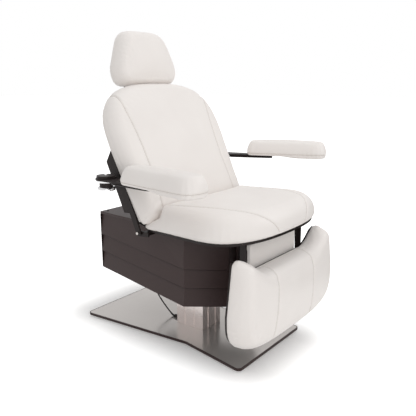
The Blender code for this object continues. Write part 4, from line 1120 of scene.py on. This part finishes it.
def button_head(radius: float) -> np.ndarray:
    """Profile of a button head screw with a round socket.

    Args:
        radius: Radius of the head.

    Returns:
        Rows of height and radius.
    """
    return radius * np.array([(0.0, 0.98), (0.12, 1.0), (0.40, 0.93), (0.58, 0.74),
                              (0.66, 0.48), (0.64, 0.42), (0.22, 0.40), (0.18, 0.02)])


def dome(radius: float, height: float, foot: float = 0.0) -> np.ndarray:
    """Profile of a shallow domed cap with a short upright rim.

    Args:
        radius: Radius of the cap.
        height: Height of the dome.
        foot: Height of the rim under it.

    Returns:
        Rows of height and radius.
    """
    turn = np.linspace(0.0, math.pi / 2 - DOME_POLE, DOME_RINGS)
    rows = np.stack([foot + height * np.sin(turn), radius * np.cos(turn)], axis=1)
    return np.vstack([[0.0, radius], rows])


@dataclass
class Fittings:
    """Small fittings: screws, caps, dark beads that paint the shadow under the skirt tiers' laps, the
    armrests' hubs, the front panel, the lead's strain relief.

    Places are in the CAD source's own frame, and those of pairs are the left one's.

    Args:
        pin_reach: Distance of the hinge pins' ends from the middle plane.
        hinge_dome: Radius, height and rim of the hinge pins' caps.
        lid_top: Level of the rear lid.
        rear: Rear face of the housing.
        screw: Radius of the screws' heads.
        lid_screws: Places across and along of the lid's screws.
        panel_screws: Places across and levels of the rear panel's screws.
        front_panel: Outer corners of half of the front panel, seen from above.
        panel_inner: Its inner corners.
        front_levels: Levels of its foot and top.
        tier_edge: Rear end, kink and front end of a skirt tier's lower edge, heights from its level.
        tier_levels: Level of each tier that gets a painted shadow line.
        tier_kink: Distance from the kink at which the painted shadow line begins to turn.
        tier_bead: Radius of the dark bead that paints the shadow line.
        hub_dome: Radius and height of the armrest hubs' covers.
        hub_bolt: Radius of the bolt on a hub.
        bolt_rise: Level of the bolt above the arm plate.
        post_dome: Radius, height and rim of the caps under the posts.
        bar_start: Distance of a stiffener's rear end from the swing axis.
        bar_length: Length of a stiffener.
        bar_drop: Distance of its middle below the arm plate.
        bar_half: Half of its thickness.
        bar_wide: Half of its width at the rear.
        bar_taper: How much of that it loses to its front.
        bar_rings: Sections along it.
        bar_end: Power that rounds its ends off, higher for squarer ones.
        bar_tip: Least share of its width squared, at its very ends.
        relief_length: Length of the lead's strain relief.
        relief_radii: Its radius at the gland and at its tip.
        relief_rib: Depth of the grooves between its ribs.
        relief_rings: Sections along it.
        rib_rings: Sections of one rib and its groove.
    """

    pin_reach: float = 0.371
    hinge_dome: Sequence[float] = (0.0068, 0.0026, 0.0012)
    lid_top: float = 0.600
    rear: float = 0.369
    screw: float = 0.0042
    lid_screws: Spots = ((0.232, 0.345), (0.244, 0.160))
    panel_screws: Spots = ((0.240, 0.335), (0.240, 0.448), (0.240, 0.562))
    front_panel: Spots = ((0.1365, -0.326), (0.1365, -0.344), (0.0860, -0.344), (0.0790, -0.352))
    panel_inner: Spots = ((0.1335, -0.326), (0.1335, -0.341), (0.0873, -0.341), (0.0803, -0.349))
    front_levels: Sequence[float] = (0.240, 0.560)
    tier_edge: Spots = ((0.262, 0.3657, 0.0), (0.2953, -0.205, -0.0596), (0.1469, -0.3472, -0.0742))
    tier_levels: Sequence[tuple[str, float]] = (("middle", 0.3947), ("upper", 0.4827))
    tier_kink: float = 0.002
    tier_bead: float = 0.0006
    hub_dome: Sequence[float] = (0.0418, 0.0022)
    hub_bolt: float = 0.0080
    bolt_rise: float = 0.0017
    post_dome: Sequence[float] = (0.0400, 0.0030, 0.0120)
    bar_start: float = 0.058
    bar_length: float = 0.242
    bar_drop: float = 0.0060
    bar_half: float = 0.0056
    bar_wide: float = 0.034
    bar_taper: float = 0.018
    bar_rings: int = 25
    bar_end: int = 10
    bar_tip: float = 0.02
    relief_length: float = 0.034
    relief_radii: Sequence[float] = (0.0066, 0.0042)
    relief_rib: float = 0.0005
    relief_rings: int = 35
    rib_rings: int = 4

    def build(self) -> None:
        """Put every fitting on its body."""
        for sign, side in ((1, "left"), (-1, "right")):
            self.hinge_cap(sign, side)
            self.screws(sign, side)
            self.tier_painted_shadow_line(sign, side)
        self.armrest(LEFT_LINE, "left", Body.LEFT_ARM, Body.LEFT_BRACKET)
        self.armrest(RIGHT_LINE, "right", Body.RIGHT_ARM, Body.RIGHT_BRACKET)
        self.strain_relief()
        self.front_closing()

    def front_closing(self) -> None:
        """The folded sheet that closes the housing in front, between the skirts' ends."""
        halves = (np.array(half) for half in (self.front_panel, self.panel_inner))
        front, inner = (np.vstack([half, half[::-1] * (-1, 1)]) for half in halves)
        ring = np.vstack([front[::-1], inner]) + ROOT[:2]
        dress(prism("housing_front_panel", ring.tolist(), *self.front_levels), Slot.BRONZE, Body.LIFT)

    def tier_painted_shadow_line(self, sign: int, side: str) -> None:
        """A thin dark bead along the lower edge of the middle and upper skirt tiers, painted shadow where
        each tier laps over the one below.

        Args:
            sign: One on the left, minus one on the right.
            side: The side's name.
        """
        rear, kink, front = (np.array(spot) for spot in self.tier_edge)
        bend = [kink + self.tier_kink * unit(rear - kink), kink, kink + self.tier_kink * unit(front - kink)]
        for tier, rise in self.tier_levels:
            path = np.array([rear, *bend, front]) + (0.0, 0.0, rise)
            radii = np.full(len(path), self.tier_bead)
            bead = swept(f"{side}_{tier}_tier_edging", path * (sign, 1, 1) + ROOT, radii, sides=10)
            # a black bead that paints the shadow line under the tier's lap
            dress(bead, Slot.BLACK, Body.LIFT)

    def hinge_cap(self, sign: int, side: str) -> None:
        """A domed cap on the end of the back's hinge pin.

        Args:
            sign: One on the left, minus one on the right.
            side: The side's name.
        """
        spot = BACK_HINGE + (sign * self.pin_reach, 0.0, 0.0)
        made = turned(side + "_hinge_cap", dome(*self.hinge_dome), spot, (sign, 0.0, 0.0), sides=28)
        dress(made, Slot.STEEL, Body.LIFT)

    def screws(self, sign: int, side: str) -> None:
        """Screws in the lid and in the rear panel.

        Args:
            sign: One on the left, minus one on the right.
            side: The side's name.
        """
        head = button_head(self.screw)
        for k, (x, y) in enumerate(self.lid_screws, 1):
            spot = ROOT + np.array([sign * x, y, self.lid_top])
            dress(turned(f"{side}_lid_screw_{k}", head, spot, UP, sides=20), Slot.BLACK, Body.LIFT)
        for k, (x, z) in enumerate(self.panel_screws, 1):
            spot = ROOT + np.array([sign * x, self.rear, z])
            dress(turned(f"{side}_panel_screw_{k}", head, spot, REARWARD, sides=20), Slot.CHROME, Body.LIFT)

    def armrest(self, line: ArmLine, side: str, arm: Body, bracket: Body) -> None:
        """Domed hub cover with its bolt, stiffener under the arm plate, and the cap under the bracket's post.

        Args:
            line: Where the armrest lies.
            side: Its side's name.
            arm: The body that swings.
            bracket: The body that carries it.
        """
        foot, top = (float(corner[2]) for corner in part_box(side + "_arm_plate"))
        cover = turned(side + "_hub_cover", dome(*self.hub_dome), line.spot(0.0, top), UP, sides=56)
        dress(cover, Slot.PLASTIC, arm)
        middle = line.spot(0.0, top + self.bolt_rise)
        bolt = turned(side + "_hub_bolt", button_head(self.hub_bolt), middle, UP, sides=28)
        dress(bolt, Slot.CHROME, arm)
        share = np.linspace(0.0, 1.0, self.bar_rings)
        path = [line.spot(self.bar_start + self.bar_length * t, foot - self.bar_drop) for t in share]
        rounded = np.sqrt(np.clip(1.0 - np.abs(2.0 * share - 1.0) ** self.bar_end, self.bar_tip, 1.0))
        wide = (self.bar_wide - self.bar_taper * share) * rounded
        dress(flat_bar(side + "_stiffener", np.array(path), wide, self.bar_half), Slot.BLACK, arm)
        under = line.spot(0.0, float(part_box(side + "_arm_bracket")[0][2]))
        cap = turned(side + "_post_cap", dome(*self.post_dome), under, DOWN, sides=48)
        dress(cap, Slot.CHROME, bracket)

    def strain_relief(self) -> None:
        """A ribbed, tapered sleeve where the lead leaves the gland on the plate."""
        even = np.linspace(0.0, self.relief_length, self.relief_rings)
        taper = np.interp(even, (0.0, self.relief_length), self.relief_radii)
        grooved = np.arange(self.relief_rings) % self.rib_rings >= self.rib_rings // 2
        radii = taper - self.relief_rib * grooved
        sleeve = swept("lead_strain_relief", points_at(even, PowerCord().line()), radii, sides=20)
        dress(sleeve, Slot.RUBBER, Body.BASE)


@dataclass(frozen=True)
class Lamp:
    """One square soft box.

    Args:
        name: Its name.
        place: Where it hangs.
        aim: The point it is turned to.
        size: Side of its square, in metres.
        power: Watts.
    """

    name: str
    place: Sequence[float]
    aim: Sequence[float]
    size: float
    power: float

    def hang(self) -> None:
        """Put it into the scene."""
        data = bpy.data.lights.new(self.name, "AREA")
        data.shape = "SQUARE"
        data.size = self.size
        data.energy = self.power
        made = bpy.data.objects.new(self.name, data)
        x, y, z = np.asarray(self.aim, float) - np.asarray(self.place, float)
        made.location = self.place
        made.rotation_euler = Euler((math.atan2(math.hypot(x, y), -z), 0.0, math.atan2(x, -y) + math.pi))
        bpy.context.scene.collection.objects.link(made)


LAMPS = (
    Lamp("key_box", (-2.2, -2.4, 1.6), (0.0, 0.0, 0.6), 2.0, 20.0),
    Lamp("top_box", (0.4, 0.2, 3.4), (0.0, 0.0, 0.5), 3.0, 16.0),
    Lamp("side_box", (1.6, -2.2, 2.4), (0.0, 0.0, 0.8), 1.6, 16.0),
)


@dataclass
class Studio:
    """Camera at the photograph's place, pale floor, soft light.

    Args:
        eye: Camera place in the CAD source's own frame.
        pitch: Degrees that it looks down.
        yaw: Degrees that it is turned from facing +Y towards +X.
        focal_px: Focal length in pixels of the square picture.
        picture_px: Side of the picture.
        sensor_mm: Width of the camera's sensor.
        room_light: Strength of the world as light, where the eye and metal see it as white.
        floor_colour: Colour of the floor's paper.
        floor_roughness: Roughness of the paper.
        floor_half: Half of the floor's side.
        floor_reach: Distances from the base plate between which the floor's own glow rises, out of the shadow
            painted round the plate.
        floor_painted_shadow_and_glow: The glow at those distances: the low one paints the shadow round the
            plate, the high one runs into the white background.
        waist: How much narrower than its box the base plate is at its middle, for the shadow painted on the
            floor round it.
        flag_ends: Ends of the dark card beside the leg rest, seen from above.
        flag_levels: Levels of its foot and top.
        flag_colour: Its colour.
    """

    eye: Sequence[float] = (-2.01663, -1.66698, 1.23493)
    pitch: float = 13.23
    yaw: float = 52.43
    focal_px: float = 536.8
    picture_px: float = 416.0
    sensor_mm: float = 36.0
    room_light: float = 0.58
    floor_colour: str = "#f2f1f0"
    floor_roughness: float = 0.9
    floor_half: float = 40.0
    floor_reach: Sequence[float] = (0.02, 0.34)
    # low glow near the plate paints its shadow on the floor; high glow further out is the white backdrop
    floor_painted_shadow_and_glow: Sequence[float] = (0.12, 0.85)
    waist: Sequence[float] = (0.105, 0.0, 0.0)
    flag_ends: Spots = ((0.35, -1.38), (1.17, -0.37))
    flag_levels: Sequence[float] = (0.02, 0.95)
    flag_colour: str = "#2a2626"

    def camera(self) -> None:
        """Set up the camera."""
        data = bpy.data.cameras.new("camera")
        data.sensor_width = self.sensor_mm
        data.lens = self.focal_px / self.picture_px * self.sensor_mm
        data.dof.use_dof = False
        made = bpy.data.objects.new("camera", data)
        made.location = ROOT + np.asarray(self.eye)
        made.rotation_euler = Euler((math.radians(90.0 - self.pitch), 0.0, math.radians(-self.yaw)))
        bpy.context.scene.collection.objects.link(made)
        bpy.context.scene.camera = made

    def world(self) -> None:
        """Set the world: white to the eye and in metal, plain light elsewhere."""
        made = bpy.data.worlds.new("studio")
        made.use_nodes = True
        tree = made.node_tree
        tree.nodes.clear()
        rays = add_node(tree, "ShaderNodeLightPath")
        seen = add_node(tree, "ShaderNodeMath", {
            0: rays.outputs["Is Camera Ray"], 1: rays.outputs["Is Glossy Ray"]}, operation="MAXIMUM")
        seen = add_node(tree, "ShaderNodeMath", {
            0: seen.outputs[0], 1: rays.outputs["Is Transmission Ray"]}, operation="MAXIMUM")
        glow = add_node(tree, "ShaderNodeMapRange", {0: seen.outputs[0], 3: self.room_light, 4: 1.0})
        back = add_node(tree, "ShaderNodeBackground", {"Color": WHITE, "Strength": glow.outputs[0]})
        add_node(tree, "ShaderNodeOutputWorld", {"Surface": back.outputs[0]})
        bpy.context.scene.world = made

    def floor(self) -> None:
        """Lay the pale floor, with a glow of its own so that it runs into the white background, dimmed near
        the base plate to paint a soft shadow round it.
        """
        corners = np.array([(-1, -1, 0), (1, -1, 0), (1, 1, 0), (-1, 1, 0)]) * self.floor_half
        made = put_mesh("studio_floor", corners, [(0, 1, 2, 3)], smooth=False)
        paint, tree = bare("studio_floor_paper")
        rays = add_node(tree, "ShaderNodeLightPath")
        seen = add_node(tree, "ShaderNodeMath", {
            0: rays.outputs["Is Camera Ray"], 1: rays.outputs["Is Glossy Ray"]}, operation="MAXIMUM")
        low, high = (np.asarray(corner, float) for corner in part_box("base_plate"))
        place = add_node(tree, "ShaderNodeTexCoord").outputs["Object"]
        for operation, value in (("SUBTRACT", (low + high) / 2), ("ABSOLUTE", np.zeros(3)),
                                 ("SUBTRACT", (high - low) / 2 - self.waist), ("MAXIMUM", np.zeros(3))):
            inputs = {0: place, 1: tuple(value)}
            place = add_node(tree, "ShaderNodeVectorMath", inputs, operation=operation).outputs[0]
        away = add_node(tree, "ShaderNodeVectorMath", {0: place}, operation="LENGTH").outputs["Value"]
        # the floor's glow is dimmest at the base plate: a painted shadow round it
        (near, far), (painted_shadow_glow, bright) = self.floor_reach, self.floor_painted_shadow_and_glow
        rise = add_node(tree, "ShaderNodeMapRange", {
            0: away, 1: near, 2: far, 3: painted_shadow_glow, 4: bright}, interpolation_type="SMOOTHSTEP")
        glow = add_node(tree, "ShaderNodeMath", {
            0: seen.outputs[0], 1: rise.outputs[0]}, operation="MULTIPLY")
        shader = add_node(tree, "ShaderNodeBsdfPrincipled", {
            "Base Color": linear(self.floor_colour), "Roughness": self.floor_roughness,
            "Emission Color": WHITE, "Emission Strength": glow.outputs[0]})
        add_node(tree, "ShaderNodeOutputMaterial", {"Surface": shader.outputs[0]})
        made.data.materials.append(paint)

    def black_flag(self) -> None:
        """Stand a dark card beside the leg rest, which only shows as a dark edge in bright metal."""
        low, high = self.flag_levels
        left, right = self.flag_ends
        corners = np.array([(*left, low), (*right, low), (*right, high), (*left, high)])
        made = put_mesh("studio_flag", corners, [(0, 1, 2, 3)], smooth=False)
        paint, tree = bare("studio_flag_felt")
        felt = add_node(tree, "ShaderNodeBsdfDiffuse", {"Color": linear(self.flag_colour)})
        add_node(tree, "ShaderNodeOutputMaterial", {"Surface": felt.outputs[0]})
        made.data.materials.append(paint)
        made.visible_camera = False
        made.visible_diffuse = False
        made.visible_shadow = False

    def build(self) -> None:
        """Set up camera, light and floor, and the plain view transform."""
        bpy.context.scene.view_settings.view_transform = "Standard"
        self.camera()
        for lamp in LAMPS:
            lamp.hang()
        self.world()
        self.floor()
        self.black_flag()


def no_seam(mesh: bpy.types.Mesh) -> None:
    """Mark a mesh as lying far from every seam."""
    store = mesh.attributes.new("seam_across", "FLOAT", "POINT")
    store.data.foreach_set("value", np.full(len(mesh.vertices), NO_SEAM, np.float32))


def dress_frame(frame: dict[str, Any]) -> None:
    """Give each CAD node that shows the finish of its slot in the record.
    """
    for row in frame["record"]["subparts"]:
        node = frame["nodes"][row["node"]]
        slot = Slot(row["material_slot"])
        node.data.materials.clear()
        node.data.materials.append(finish_of(slot))
        if slot is Slot.VINYL:
            no_seam(node.data)


def main() -> None:
    """Load the frame and build the pieces in order."""
    logging.basicConfig(level=logging.INFO, format="%(name)s: %(message)s")
    for made in list(bpy.data.objects):
        bpy.data.objects.remove(made)
    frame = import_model()
    Studio().build()
    dress_frame(frame)
    PowerCord().build()
    Fittings().build()
    for cushion in CUSHIONS:
        cushion.build(frame)


if __name__ == "__main__":
    main()
